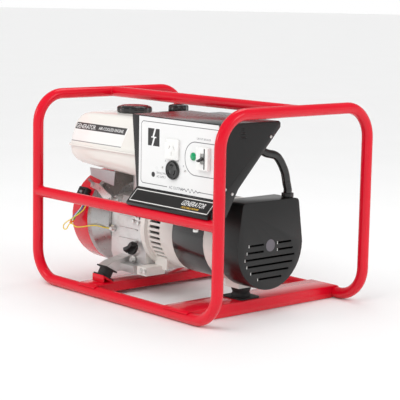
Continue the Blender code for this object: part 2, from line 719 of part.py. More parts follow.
def recoil_housing():
    """Dished starter cover with radial air slots, a centre post and a rope guide."""
    base = FAN_FACE_X - FIT_GAP
    face = RECOIL_FACE_X
    rim = RECOIL_RADIUS
    dome = RECOIL_RADIUS - 0.004
    wall = SHEET_WALL
    profile = [(face, 0), (face, dome - 0.012), (face + 0.002, dome - 0.006), (face + 0.007, dome - 0.002),
               (base - wall, dome), (base - wall, rim), (base, rim), (base, dome - wall),
               (face + 0.008, dome - 0.002 - wall), (face + wall, dome - 0.014), (face + wall, 0)]
    item = place("recoil_housing", about_shaft(profile, 36), RED)
    weld(item,
         disc((face + 0.001, SHAFT_Y, SHAFT_Z), (1, 0, 0), RECOIL_POST_RADIUS, base - face - 0.002, 16))
    slots = []
    count = 10
    for i in range(count):
        slot = box((face - 0.004, SHAFT_Y - 0.004, SHAFT_Z + 0.030),
                   (face + 0.006, SHAFT_Y + 0.004, SHAFT_Z + 0.066))
        slots.append(turned_about(slot, (0, SHAFT_Y, SHAFT_Z), (1, 0, 0), 2 * math.pi * (i + 0.5) / count))
    cut(item, merged(*slots))
    exit_at = math.sqrt(dome ** 2 - rope_offset() ** 2)
    weld(item, disc(rope_point(exit_at - 0.005), rope_direction(), 0.0075, 0.012, 16))
    cut(item, disc(rope_point(exit_at - 0.012), rope_direction(), ROPE_RADIUS + 0.0012, 0.024, 12))
    return item


def rope_direction():
    """The rope leaves the starter backwards and a little up."""
    return Vector((0, math.cos(ROPE_RISE), math.sin(ROPE_RISE)))


def rope_offset():
    """Distance from the shaft to the rope's centre line."""
    return PULLEY_RADIUS + ROPE_RADIUS + 2 * FIT_GAP


def rope_point(distance):
    """A point on the rope, measured from where it leaves the pulley."""
    x = (RECOIL_FACE_X + FAN_FACE_X) / 2
    radial = Vector((0, -math.sin(ROPE_RISE), math.cos(ROPE_RISE)))
    return Vector((x, SHAFT_Y, SHAFT_Z)) + radial * rope_offset() + rope_direction() * distance


def recoil_pulley():
    """Grooved rope pulley on the starter's post."""
    x = rope_point(0)[0]
    rim = PULLEY_RADIUS + 0.006
    bore = RECOIL_POST_RADIUS + 2 * FIT_GAP
    profile = [(x - 0.0055, bore), (x - 0.0055, rim), (x - 0.0033, rim), (x - 0.0028, PULLEY_RADIUS),
               (x + 0.0028, PULLEY_RADIUS), (x + 0.0033, rim), (x + 0.0055, rim), (x + 0.0055, bore)]
    return place("recoil_pulley", about_shaft(profile, 32, True), BLACK_PLASTIC, (x, SHAFT_Y, SHAFT_Z))


def recoil_grip():
    """Pull handle with the first stretch of its rope, which runs back to the pulley."""
    origin = rope_point(GRIP_START)
    tail = 0.050
    item = place("recoil_grip",
                 disc(rope_point(-tail), rope_direction(), ROPE_RADIUS, GRIP_START + tail + 0.012, 10),
                 BLACK_PLASTIC, origin)
    centre = rope_point(GRIP_START + 0.009)
    bar = box((centre.x - 0.008, -0.028, -0.009), (centre.x + 0.008, 0.028, 0.009))
    bmesh.ops.bevel(bar, geom=bar.edges[:], offset=0.005, segments=2, affect='EDGES')
    turn = Matrix.Translation((0, centre.y, centre.z)) @ Matrix.Rotation(ROPE_RISE - math.pi / 2, 4, 'X')
    bmesh.ops.transform(bar, matrix=turn, verts=bar.verts[:])
    return weld(item, bar)


def vane_ring(count, inner, outer, start, end, lean=0.10):
    """Fan blades round a hub, as one star-shaped outline."""
    points = []
    step = 2 * math.pi / count
    for i in range(count):
        base = i * step
        for radius, turn in ((inner, 0.0), (outer, lean), (outer, lean + 0.16 * step),
                             (inner, 0.24 * step)):
            angle = base + turn
            points.append((SHAFT_Y + radius * math.cos(angle), SHAFT_Z + radius * math.sin(angle)))
    return prism(points, "YZ", start, end)


def flywheel():
    """Flywheel with its cooling vanes, keyed to the shaft."""
    start = BLOWER_X + 0.006
    bore = SHAFT_RADIUS + FIT_GAP
    profile = [(start, bore), (start, 0.082), (start + 0.022, 0.082), (start + 0.022, 0.068),
               (start + 0.008, 0.060),
               (start + 0.008, 0.026), (start + 0.026, 0.026), (start + 0.026, bore)]
    item = place("flywheel", about_shaft(profile, 32, True), CAST, (start, SHAFT_Y, SHAFT_Z))
    vanes = []
    count = 14
    for i in range(count):
        vane = box((start - 0.024, SHAFT_Y - 0.002, SHAFT_Z + 0.050),
                   (start + 0.004, SHAFT_Y + 0.002, SHAFT_Z + 0.098))
        vanes.append(turned_about(vane, (0, SHAFT_Y, SHAFT_Z), (1, 0, 0), 2 * math.pi * i / count))
    return weld(item, merged(*vanes))


def rotor_shaft():
    """One shaft from the flywheel to the end bell, with the alternator's fan and rotor on it."""
    start = BLOWER_X - 0.012
    end = COVER_X - 0.012
    fan = ADAPTER_X + 0.020
    rotor = STATOR_X + 0.010
    rotor_end = BELL_X - 0.010
    profile = [(start, 0), (start, SHAFT_RADIUS), (fan, SHAFT_RADIUS), (fan, 0.066), (fan + 0.004, 0.070),
               (fan + 0.008, 0.030), (rotor - 0.004, 0.026), (rotor - 0.004, ROTOR_RADIUS - 0.012),
               (rotor, ROTOR_RADIUS), (rotor_end, ROTOR_RADIUS), (rotor_end + 0.004, ROTOR_RADIUS - 0.012),
               (rotor_end + 0.004, 0.022), (end, 0.017), (end, 0)]
    item = place("rotor_shaft", about_shaft(profile, 28), STEEL, ((start + end) / 2, SHAFT_Y, SHAFT_Z))
    weld(item, vane_ring(11, 0.030, 0.074, fan + 0.002, fan + 0.024, 0.25))
    return item


def fin_stack(start, length, half, tip):
    """Comb outline of a cylinder with its fins, in Y and Z."""
    count = int(length / FIN_PITCH)
    upper = []
    for i in range(count):
        low = start + i * FIN_PITCH
        upper += [(low, tip), (low + FIN_THICKNESS, tip), (low + FIN_THICKNESS, half),
                  (low + FIN_PITCH, half)]
    upper[-1] = (start + length, half)
    lower = [(along, -across) for along, across in reversed(upper)]
    return [cylinder_point(*point) for point in upper + lower]


def cylinder():
    start = CYLINDER_START + FIT_GAP
    outline = fin_stack(start, CYLINDER_LENGTH - 2 * FIT_GAP, CYLINDER_HALF - 0.016, CYLINDER_HALF)
    middle = (CRANKCASE_X + ADAPTER_X) / 2
    return place("cylinder", prism(outline, "YZ", middle - CYLINDER_HALF, middle + CYLINDER_HALF), CAST)


def cylinder_head():
    start = CYLINDER_START + CYLINDER_LENGTH
    outline = fin_stack(start, HEAD_LENGTH, CYLINDER_HALF - 0.010, CYLINDER_HALF + 0.002)
    middle = (CRANKCASE_X + ADAPTER_X) / 2
    return place("cylinder_head", prism(outline, "YZ", middle - CYLINDER_HALF, middle + CYLINDER_HALF),
                 CAST)


def rocker_cover():
    """Pressed cover over the valve gear."""
    start = CYLINDER_START + CYLINDER_LENGTH + HEAD_LENGTH + FIT_GAP
    middle = (CRANKCASE_X + ADAPTER_X) / 2
    half = CYLINDER_HALF - 0.010
    outline = [cylinder_point(start, -half), cylinder_point(start, half),
               cylinder_point(start + ROCKER_LENGTH,
                              half - 0.008), cylinder_point(start + ROCKER_LENGTH, 0.008 - half)]
    item = place("rocker_cover", prism(outline, "YZ", middle - half, middle + half), STEEL)
    return rounded(item, 0.005)


def plug_point(out=0.0):
    y, z = cylinder_point(CYLINDER_START + CYLINDER_LENGTH + HEAD_LENGTH / 2, -0.018)
    middle = (CRANKCASE_X + ADAPTER_X) / 2
    return Vector((middle + CYLINDER_HALF + FIT_GAP + out, y, z))


def spark_plug_cap():
    """Plug hexagon under a black push-on cap."""
    item = place("spark_plug_cap", hexagon(plug_point(), (1, 0, 0), 0.016, 0.010), BLACK_PLASTIC)
    weld(item,
         turned([(0.008, 0), (0.008, 0.009), (0.034, 0.0085), (0.040, 0.006), (0.040, 0)], plug_point(),
                (1, 0, 0), 16))
    return item


def spark_lead():
    """Ignition lead from the cap, round under the cylinder, into the blower housing."""
    start = plug_point(0.040 + FIT_GAP)
    port = Vector((BLOWER_X + 0.0255, SHAFT_Y + 0.1135, SHAFT_Z - 0.010))
    route = [start, start + Vector((0.003, 0, 0)), start + Vector((0.006, 0, 0)),
             start + Vector((0.014, 0.001, -0.009)), start + Vector((0.011, -0.004, -0.038)),
             (ADAPTER_X - 0.050, SHAFT_Y + 0.140, SHAFT_Z - 0.048), (CRANKCASE_X + 0.030, SHAFT_Y + 0.136,
                                                                     SHAFT_Z - 0.046),
             (CRANKCASE_X - 0.010, SHAFT_Y + 0.130, SHAFT_Z - 0.026), port]
    return round_tube("spark_lead", smooth_route(route, 4), 0.0035, BLACK_PLASTIC, 8)


# ---- tank, intake and exhaust -----------------------------------------------------------------------------
def tank_floor_z(x):
    """The floor falls towards the right, where the outlet is."""
    return TANK_FLOOR_Z + TANK_FLOOR_FALL * (TANK_RIGHT_X - x) / TANK_LENGTH


def tank_ring(inset_x, inset_y, z, radius, fall=0.0):
    """Round-cornered ring of the tank at one height, drawn in or out from the wall."""
    low = (TANK_LEFT_X + inset_x, TANK_FRONT_Y + inset_y)
    high = (TANK_RIGHT_X - inset_y, TANK_BACK_Y - inset_y)
    points = []
    for x, y in rounded_outline(low, high, radius):
        points.append((x, y, z + fall * (TANK_RIGHT_X - x) / TANK_LENGTH))
    return points


def fuel_tank():
    """Two pressed halves that meet in a flat lip round the middle."""
    seam = TANK_SEAM_Z
    half = TANK_LIP_THICKNESS / 2
    rise = TANK_TOP_Z - seam
    fall = TANK_FLOOR_FALL
    floor = TANK_FLOOR_Z
    lip = -TANK_LIP
    levels = [(0.058, 0.028, floor, 0.020, fall), (0.024, 0.014, floor + 0.004, 0.024, fall),
              (0.009, 0.006, floor + 0.014, 0.024, fall), (0.002, 0.001, seam - 0.014, 0.022, 0),
              (0, 0, seam - half, 0.022, 0), (lip, lip, seam - half, 0.026,
                                              0), (lip, lip, seam + half, 0.026, 0),
              (0, 0, seam + half, 0.022, 0), (0.017, 0.006, seam + rise * 0.62, 0.024, 0),
              (0.028, 0.013, seam + rise * 0.86, 0.026, 0), (0.042, 0.024, seam + rise * 0.97, 0.026, 0),
              (0.066, 0.048, TANK_TOP_Z, 0.022, 0)]
    item = place("fuel_tank", skin([tank_ring(*level) for level in levels]), TANK_WHITE)
    wall = TANK_WALL
    inside = [(0.060, 0.030, floor + wall, 0.018, fall), (0.011, 0.008, floor + 0.015, 0.022, fall),
              (0.003, 0.003, seam - 0.010, 0.020, 0), (0.003, 0.003, seam + 0.004, 0.020, 0),
              (0.019, 0.008, seam + rise * 0.60, 0.022, 0), (0.031, 0.016, seam + rise * 0.84, 0.022, 0),
              (0.068, 0.050, TANK_TOP_Z - wall * 1.5, 0.020, 0)]
    neck = disc(cap_centre() - Vector((0, 0, 0.010)), (0, 0, 1), NECK_RADIUS, 0.020, 20)
    return cut(item, skin([tank_ring(*level) for level in inside]), neck)


def cap_centre():
    return Vector((TANK_RIGHT_X - 0.155, SHAFT_Y - 0.016, TANK_TOP_Z + FIT_GAP))


def fuel_cap():
    """Black cap with eight scallops to grip."""
    centre = cap_centre()
    lobes = 8
    outline = []
    for i in range(lobes * 6):
        angle = 2 * math.pi * i / (lobes * 6)
        radius = CAP_RADIUS - 0.004 * (0.5 - 0.5 * math.cos(lobes * angle)) ** 2
        outline.append((centre.x + radius * math.cos(angle), centre.y + radius * math.sin(angle)))
    item = place("fuel_cap", prism(outline, "XY", centre.z, centre.z + CAP_HEIGHT - 0.003), BLACK_PLASTIC,
                 centre)
    crown = [(CAP_HEIGHT - 0.006, 0), (CAP_HEIGHT - 0.006, CAP_RADIUS - 0.006),
             (CAP_HEIGHT - 0.002, CAP_RADIUS - 0.010),
             (CAP_HEIGHT, CAP_RADIUS - 0.020), (CAP_HEIGHT, 0)]
    weld(item, turned(crown, centre, (0, 0, 1), 24))
    return item


def tank_stay():
    """Folded steel stay between the blower housing's shoulder and the tank."""
    left = TANK_LEFT_X + 0.052
    y = TANK_FRONT_Y + 0.030
    top = tank_floor_z(left + 0.090) - 0.004
    outline = [(left, top), (left + 0.004, top - 0.019), (left + 0.030, top - 0.024),
               (left + 0.092, top - 0.034),
               (left + 0.096, top)]
    return place("tank_stay", prism(outline, "XZ", y, y + SHEET_FRAME), STEEL)


def air_box():
    """Low and high corners of the air cleaner."""
    centre = Vector((TANK_LEFT_X + 0.077, SHAFT_Y + 0.160, TANK_TOP_Z - 0.012))
    return (centre.x - 0.052, centre.y - 0.054), (centre.x + 0.052, centre.y + 0.054), centre


def air_cleaner_case():
    """Lower half of the air cleaner, with the elbow down to the carburettor."""
    low, high, centre = air_box()
    inlet = carburettor_inlet()
    bottom = inlet.z + AIR_CASE_RISE
    top = centre.z - AIR_COVER_HEIGHT
    item = place("air_cleaner_case", prism(rounded_outline(low, high, 0.016), "XY", bottom, top),
                 BLACK_PLASTIC)
    drop = bottom - inlet.z - FIT_GAP
    weld(item, disc((inlet.x, inlet.y, inlet.z + FIT_GAP), (0, 0, 1), 0.016, drop + 0.004, 20))
    return item


def air_cleaner_cover():
    low, high, centre = air_box()
    bottom = centre.z - AIR_COVER_HEIGHT + FIT_GAP
    top = centre.z - FIT_GAP
    grow = 0.003
    outline = rounded_outline((low[0] - grow, low[1] - grow), (high[0] + grow, high[1] + grow), 0.018)
    item = place("air_cleaner_cover", prism(outline, "XY", bottom, top), BLACK_PLASTIC)
    return rounded(item, 0.006, 2, 60)


def air_cleaner_knob():
    """Round scalloped knob that clamps the cover."""
    centre = air_box()[2]
    lobes = 6
    outline = []
    for i in range(lobes * 6):
        angle = 2 * math.pi * i / (lobes * 6)
        radius = 0.026 - 0.003 * (0.5 - 0.5 * math.cos(lobes * angle)) ** 2
        outline.append((centre.x + radius * math.cos(angle), centre.y + radius * math.sin(angle)))
    return place("air_cleaner_knob", prism(outline, "XY", centre.z, centre.z + 0.020), BLACK_PLASTIC,
                 centre)


def port_up():
    """Direction square to the cylinder head's upper face."""
    return Vector((0, -math.sin(CYLINDER_TILT), math.cos(CYLINDER_TILT)))


def port_seat(x):
    """Where a pipe's flange sits on the cylinder head's upper face."""
    seat = cylinder_point(CYLINDER_START + CYLINDER_LENGTH + HEAD_LENGTH * 0.55,
                          CYLINDER_HALF + 0.002 + FIT_GAP)
    return Vector((x, seat[0], seat[1]))


def intake_seat():
    return port_seat((CRANKCASE_X + ADAPTER_X) / 2 - 0.026)


def carburettor_inlet():
    """Mouth of the carburettor, under the air cleaner."""
    body = intake_seat() + port_up() * 0.026
    return Vector((TANK_LEFT_X + 0.065, body.y, body.z + 0.020))


def carburettor():
    """Cast body along X with a float bowl below, and an elbow with a flange on the cylinder head."""
    mouth = carburettor_inlet()
    seat = intake_seat()
    start = mouth.x - 0.014
    centre = Vector((start, mouth.y, mouth.z - 0.020))
    item = place("carburettor", disc(centre, (1, 0, 0), 0.015, seat.x - start + 0.011, 20), CAST)
    weld(item, disc((mouth.x, centre.y, centre.z), (0, 0, 1), 0.0135, 0.020, 20))
    weld(item, disc((mouth.x + 0.030, centre.y, centre.z - 0.044), (0, 0, 1), 0.018, 0.040, 20))
    weld(item, disc(seat, port_up(), 0.014, 0.006, 16))
    return weld(item, disc(seat + port_up() * 0.003, port_up(), 0.011, 0.020, 16))


def lever(name, pivot, length, finish, side):
    """Small flat lever on the carburettor's back, with a round boss and a bent tip."""
    item = place(name, disc(pivot, (0, 1, 0), 0.006, 0.006, 14), finish, pivot)
    x, y, z = pivot
    arm = [(x - 0.004 * side, z - 0.003), (x + length * side, z - 0.003), (x + length * side, z + 0.003),
           (x - 0.004 * side, z + 0.003)]
    if side < 0:
        arm.reverse()
    weld(item, prism(arm, "XZ", y + 0.002, y + 0.005))
    tip_x = x + length * side
    weld(item, box((tip_x - 0.003, y + 0.0015, z - 0.004), (tip_x + 0.003, y + 0.012, z + 0.004)))
    return item


def build_levers():
    """Choke above, fuel valve below, both on the carburettor's rear face."""
    mouth = carburettor_inlet()
    back = mouth.y + 0.015 + FIT_GAP
    lever("choke_lever", (mouth.x + 0.008, back, mouth.z - 0.020), 0.030, BLACK_PLASTIC, -1)
    bowl_back = mouth.y + 0.018 + FIT_GAP
    lever("fuel_valve_lever", (mouth.x + 0.030, bowl_back, mouth.z - 0.046), 0.026, BLACK_PLASTIC, -1)


def muffler_box():
    """Low and high corners of the muffler, which clears the carburettor below it."""
    right = (CRANKCASE_X + ADAPTER_X) / 2 + 0.028
    bottom = intake_seat().z + 0.045
    return Vector((right - 0.064, SHAFT_Y + 0.126, bottom)), Vector((right, SHAFT_Y + 0.232,
                                                                     bottom + MUFFLER_HEIGHT))


def muffler():
    """Pressed steel silencer behind the tank, on a flanged pipe from the cylinder head."""
    low, high = muffler_box()
    outline = rounded_outline((low.x, low.y), (high.x, high.y), 0.016)
    item = place("muffler", prism(outline, "XY", low.z, high.z), HOT_STEEL)
    root = port_seat(high.x - 0.018)
    weld(item, disc(root, port_up(), 0.014, 0.008, 16))
    foot = root + port_up() * 0.006
    stem = Vector((root.x, low.y + 0.012, low.z + 0.006)) - foot
    return weld(item, disc(foot, stem, 0.008, stem.length, 14))


def muffler_guard():
    """Slotted sheet guard on the back and top of the muffler."""
    low, high = muffler_box()
    gap = 0.006
    sheet = 0.0015
    outline = [(low.y + 0.010, high.z + FIT_GAP), (low.y + 0.016, high.z + gap),
               (high.y + gap, high.z + gap),
               (high.y + gap, low.z + 0.006), (high.y + gap + sheet, low.z + 0.006),
               (high.y + gap + sheet, high.z + gap + sheet), (low.y + 0.0155, high.z + gap + sheet),
               (low.y + 0.010 - sheet, high.z + FIT_GAP)]
    item = place("muffler_guard", prism(outline, "YZ", low.x - 0.002, high.x + 0.002), STEEL)
    slots = []
    for i in range(4):
        z = low.z + 0.014 + i * 0.016
        slots.append(box((low.x + 0.010, high.y, z), (high.x - 0.010, high.y + 0.020, z + 0.007)))
    for i in range(5):
        y = low.y + 0.024 + i * 0.016
        slots.append(box((low.x + 0.010, y, high.z + gap * 0.5),
                         (high.x - 0.010, y + 0.007, high.z + gap * 3)))
    return cut(item, merged(*slots))


def governor_pivot():
    return Vector((CRANKCASE_X + 0.014, SHAFT_Y - CRANKCASE_FRONT + 0.001 - FIT_GAP, SHAFT_Z + 0.054))


def governor_arm():
    """Flat zinc arm on the governor spindle, in front of the blower housing's shoulder."""
    pivot = governor_pivot()
    face = SHAFT_Y - 0.098
    sheet = 0.0025
    item = place("governor_arm", disc(pivot, (0, -1, 0), 0.004, pivot.y - face + sheet + 0.003, 12), ZINC,
                 pivot)
    outline = [(0.009, -0.008), (0.009, 0.010), (-0.040, 0.032), (-0.068, 0.034), (-0.072, 0.022),
               (-0.044, 0.016),
               (-0.014, -0.006)]
    points = [(pivot.x + x, pivot.z + z) for x, z in outline]
    return weld(item, prism(points, "XZ", face - sheet, face))


def switch_place():
    """Seat of the stop switch on the fan cover's front shoulder."""
    angle = math.radians(150)
    out = Vector((0, math.cos(angle), math.sin(angle)))
    centre = Vector((BLOWER_X - 0.026, SHAFT_Y, SHAFT_Z)) + out * (FAN_RADIUS + 0.0004)
    return centre, out, angle


def engine_switch():
    """Black switch block with a red rocker."""
    centre, out, angle = switch_place()
    body = box((-0.016, -0.011, 0.0), (0.016, 0.011, 0.014))
    turn = Matrix.Translation(centre) @ Matrix.Rotation(angle - math.pi / 2, 4, 'X')
    bmesh.ops.transform(body, matrix=turn, verts=body.verts[:])
    item = place("engine_switch_body", body, BLACK_PLASTIC)
    well = box((-0.009, -0.0065, 0.0095), (0.009, 0.0065, 0.020))
    bmesh.ops.transform(well, matrix=turn, verts=well.verts[:])
    cut(item, well)
    pivot = centre + out * 0.0135
    outline = [(-0.0082, 0.0018), (-0.0074, 0.0052), (0.0, 0.0016), (0.0076, 0.0020), (0.0082, -0.0018),
               (0.0, -0.0032)]
    rocker = prism(outline, "XZ", -0.0058, 0.0058)
    bmesh.ops.transform(rocker,
                        matrix=Matrix.Translation(pivot) @ Matrix.Rotation(angle - math.pi / 2, 4, 'X'),
                        verts=rocker.verts[:])
    place("engine_switch_rocker", rocker, BLACK_PLASTIC, pivot)


def engine_wires():
    """Lead bundle that hangs from the switch, and the earth wire that runs on to the crankcase."""
    centre = switch_place()[0]
    start = centre + Vector((0.012, -0.0125, -0.022))
    bundle = [start, start + Vector((-0.004, -0.008, -0.014)), start + Vector((-0.018, -0.014, -0.030)),
              start + Vector((-0.028, -0.016, -0.044))]
    round_tube("lead_bundle", smooth_route(bundle, 4), 0.0042, BLACK_PLASTIC, 10)
    side = start + Vector((0.0075, 0.0, -0.002))
    face = SHAFT_Y - CRANKCASE_FRONT - 0.002 - FIT_GAP - 0.0025
    bolt = Vector((CRANKCASE_X + 0.0040, face - FIT_GAP - WIRE_RADIUS, SHAFT_Z - 0.018))
    wire = [side, side + Vector((0.000, -0.012, -0.014)), side + Vector((-0.034, -0.026, -0.042)),
            side + Vector((-0.052, -0.030, -0.060)), side + Vector((-0.034, -0.026, -0.056)),
            side + Vector((-0.006, -0.018, -0.050)), (CRANKCASE_X - 0.024, bolt.y - 0.028, bolt.z + 0.006),
            (CRANKCASE_X - 0.006, bolt.y - 0.007, bolt.z + 0.001), bolt]
    round_tube("earth_wire", smooth_route(wire, 5), WIRE_RADIUS, YELLOW, 6)


def build_engine():
    crankcase()
    oil_filler_cap()
    drain_bolt()
    earth_bolt()
    blower_housing()
    fan_cover()
    recoil_housing()
    recoil_pulley()
    recoil_grip()
    flywheel()
    rotor_shaft()
    cylinder()
    cylinder_head()
    rocker_cover()
    spark_plug_cap()
    spark_lead()
    fuel_tank()
    fuel_cap()
    tank_stay()
    air_cleaner_case()
    air_cleaner_cover()
    air_cleaner_knob()
    carburettor()
    build_levers()
    muffler()
    muffler_guard()
    governor_arm()
    engine_switch()
    engine_wires()


# ---- alternator -----------------------------------------------------------------------------------------
def adapter_housing():
    """Cream casting between engine and stator, with air slots round both sides and two feet."""
    start = ADAPTER_X
    end = STATOR_X - FIT_GAP
    wall = CASTING_WALL
    throat = SHAFT_RADIUS + 0.020
    profile = [(start, ADAPTER_FLANGE_RADIUS), (start + 0.014, ADAPTER_FLANGE_RADIUS),
               (start + 0.015, ADAPTER_RADIUS),
               (end, STATOR_RADIUS - 0.0005), (end,
                                               STATOR_RADIUS - wall), (start + wall, ADAPTER_RADIUS - wall),
               (start + wall, throat), (start, throat)]
    item = place("adapter_housing", about_shaft(profile, 36, True), CREAM)
    slots = []
    for side in (0, 180):
        for i in range(8):
            slot = box((start + 0.022, SHAFT_Y + ADAPTER_RADIUS - 0.018, SHAFT_Z - 0.0032),
                       (start + 0.060, SHAFT_Y + ADAPTER_RADIUS + 0.014, SHAFT_Z + 0.0032))
            turn = 14 - i * 8.2
            angle = math.radians(turn if side == 0 else 180 - turn)
            slots.append(turned_about(slot, (0, SHAFT_Y, SHAFT_Z), (1, 0, 0), angle))
    cut(item, merged(*slots))
    for low, high in ((SHAFT_Y - 0.106, SHAFT_Y - 0.050), (SHAFT_Y + 0.050, SHAFT_Y + 0.106)):
        weld(item, box((start + 0.001, low, SUMP_Z + 0.001), (start + 0.034, high, SUMP_Z + 0.020)))
    for side in (-1, 1):
        rib = prism([(SHAFT_Y + side * 0.054, SUMP_Z + 0.012), (SHAFT_Y + side * 0.060, SUMP_Z + 0.012),
                     (SHAFT_Y + side * 0.060, SUMP_Z + 0.044), (SHAFT_Y + side * 0.054, SUMP_Z + 0.040)],
                    "YZ", start + 0.010, start + 0.052)
        weld(item, rib)
    return item


def stator():
    """Laminated stator in its black steel band."""
    profile = [(STATOR_X, STATOR_RADIUS), (BELL_X - FIT_GAP, STATOR_RADIUS),
               (BELL_X - FIT_GAP, ROTOR_RADIUS + RUNNING_GAP),
               (STATOR_X, ROTOR_RADIUS + RUNNING_GAP)]
    return place("stator", about_shaft(profile, 36, True), BLACK_PAINT)


def end_bell():
    """Cream bearing bell with the foot that stands on the rubber mount."""
    start = BELL_X
    end = COVER_X - FIT_GAP
    wall = CASTING_WALL
    hub = 0.030
    profile = [(end, 0), (end, STATOR_RADIUS - 0.006), (end - 0.006, STATOR_RADIUS - 0.002),
               (start, STATOR_RADIUS - 0.0005), (start,
                                                 STATOR_RADIUS - wall), (end - wall, STATOR_RADIUS - 0.012),
               (end - wall, 0)]
    item = place("end_bell", about_shaft(profile, 36), CREAM)
    foot_top = SHAFT_Z - STATOR_RADIUS + 0.010
    foot = CHANNEL_TOP + ALTERNATOR_MOUNT_HEIGHT + FIT_GAP
    weld(item, box((ALTERNATOR_CHANNEL_X - 0.024, SHAFT_Y - 0.026, foot),
                   (end - 0.001, SHAFT_Y + 0.026, foot_top)))
    weld(item,
         turned([(0.001, hub), (-0.012, hub), (-0.012, 0.0195), (0.001, 0.0195)],
                (end - wall, SHAFT_Y, SHAFT_Z),
                      (1, 0, 0), 24, True))
    return item


def cover_outline(inset):
    """Round below, with two sides that lean in to a flat top."""
    radius = COVER_RADIUS - inset
    top = SHAFT_Z + COVER_RADIUS - inset
    shoulder = COVER_RADIUS - 0.013 - inset
    lower = arc((SHAFT_Y, SHAFT_Z), radius, 180, 360, 20)
    right = arc((SHAFT_Y + shoulder - 0.010, top - 0.010), 0.010, 0, 90, 3)
    left = arc((SHAFT_Y - shoulder + 0.010, top - 0.010), 0.010, 90, 180, 3)
    return lower + right + left


def end_cover():
    """Black sheet cover over the brushes and the regulator, with rows of air slots in its face."""
    start = COVER_X
    end = COVER_FACE_X
    item = place("end_cover", prism(cover_outline(0), "YZ", start, end), BLACK_TEXTURE)
    cut(item, prism(cover_outline(COVER_WALL), "YZ", start - 0.004, end - COVER_WALL))
    slots = []
    for i in range(COVER_SLOT_ROWS):
        drop = 0.0151 * i - 0.0039
        half = min(math.sqrt((COVER_RADIUS - 0.018) ** 2 - drop ** 2), COVER_RADIUS - 0.0346 + 0.0054 * i)
        spans = ((-half, -0.020), (0.022, half)) if i < 2 else ((-half, half),)
        for low, high in spans:
            slots.append(box((end - 0.008, SHAFT_Y + low, SHAFT_Z - drop - 0.002),
                             (end + 0.004, SHAFT_Y + high, SHAFT_Z - drop + 0.002)))
    return cut(item, merged(*slots))


def build_alternator():
    adapter_housing()
    stator()
    end_bell()
    end_cover()


# ---- control box ------------------------------------------------------------------------------------------
def box_outline():
    """Side view of the control box: deep at the top, with a sloping back and a nose over the rail."""
    front = BOX_FRONT_Y
    rear = BOX_REAR_Y
    top = BOX_TOP_Z
    floor = BOX_FLOOR_Z
    drop = top - BOX_REAR_DROP
    nose = -RAIL_Y - 0.010
    knee = (front + 0.055, PANEL_BOTTOM_Z + 0.018)
    return [(front, top), (front, PANEL_BOTTOM_Z - 0.002), (nose, floor + 0.006), (nose, floor),
            (front + 0.022, floor), knee, (rear, drop), (rear, top - 0.004), (rear - 0.004, top)]


def raked(shape):
    """Lean the box's left side in towards its foot."""
    for vert in shape.verts:
        if vert.co.x < (BOX_LEFT_X + BOX_RIGHT_X) / 2:
            vert.co.x += BOX_LEFT_RAKE * (BOX_TOP_Z - vert.co.z) / (BOX_TOP_Z - PANEL_BOTTOM_Z)
    return shape


def control_box():
    """Folded sheet housing with a window in its front behind the panel."""
    item = place("control_box", raked(prism(box_outline(), "YZ", BOX_LEFT_X, BOX_RIGHT_X)), BLACK_TEXTURE)
    hollow = prism(inset_outline(box_outline(), BOX_SHEET), "YZ", BOX_LEFT_X + BOX_SHEET,
                   BOX_RIGHT_X - BOX_SHEET)
    rim = 0.008
    window = box((BOX_LEFT_X + PANEL_MARGIN + rim, BOX_FRONT_Y - 0.004, PANEL_BOTTOM_Z + rim),
                 (BOX_RIGHT_X - rim, BOX_FRONT_Y + 0.004, BOX_TOP_Z - rim))
    return cut(item, raked(hollow), window)


def control_panel():
    """White faced plate in front of the housing."""
    left = BOX_LEFT_X + PANEL_MARGIN
    outline = [(left, BOX_TOP_Z - 0.002), (left, PANEL_BOTTOM_Z), (BOX_RIGHT_X - 0.002, PANEL_BOTTOM_Z),
               (BOX_RIGHT_X - 0.002, BOX_TOP_Z - 0.002)]
    return place("control_panel", prism(outline, "XZ", PANEL_FACE_Y, PANEL_FACE_Y + PANEL_THICKNESS), WHITE)


def name_plate():
    """Black strip on the sloping nose under the panel."""
    top = Vector((BOX_FRONT_Y, PANEL_BOTTOM_Z - 0.002))
    foot = Vector((-RAIL_Y - 0.010, BOX_FLOOR_Z + 0.006))
    along = (foot - top).normalized()
    out = Vector((along.y, -along.x))
    low = foot - along * 0.002 + out * FIT_GAP
    high = top + along * 0.003 + out * FIT_GAP
    outline = [high, low, low + out * NAME_PLATE_THICKNESS, high + out * NAME_PLATE_THICKNESS]
    left = BOX_LEFT_X + BOX_LEFT_RAKE + 0.008
    return place("name_plate", prism(outline, "YZ", left, BOX_RIGHT_X - 0.002), BLACK_PAINT)


def panel_point(x, z):
    """A place on the panel's face, from the panel's lower left corner."""
    return Vector((BOX_LEFT_X + PANEL_MARGIN + x, PANEL_FACE_Y - FIT_GAP, PANEL_BOTTOM_Z + z))


def outlet():
    """White flush outlet with three contact slots."""
    centre = panel_point(0.116, 0.0928)
    half = OUTLET_SIZE / 2
    depth = 0.005
    outline = rounded_outline((centre.x - half, centre.z - half), (centre.x + half, centre.z + half), 0.004,
                              3)
    item = place("outlet", prism(outline, "XZ", centre.y - depth, centre.y), WHITE)
    slots = []
    for dx, dz, lean in ((-0.007, 0.004, 30), (0.007, 0.004, -30), (0.0, -0.009, 0)):
        slot = box((centre.x + dx - 0.0011, centre.y - depth - 0.002, centre.z + dz - 0.004),
                   (centre.x + dx + 0.0011, centre.y - depth + 0.004, centre.z + dz + 0.004))
        slots.append(turned_about(slot, (centre.x + dx, centre.y, centre.z + dz), (0, 1, 0),
                                  math.radians(lean)))
    return cut(item, merged(*slots))


def arc_slot(centre, radius, start, end, depth):
    """Curved contact slot of a locking socket."""
    half = 0.0012
    outline = arc((centre.x, centre.z), radius + half, start, end, 5)
    outline += arc((centre.x, centre.z), radius - half, end, start, 5)
    return prism(outline, "XZ", centre.y - 0.010, centre.y - depth)


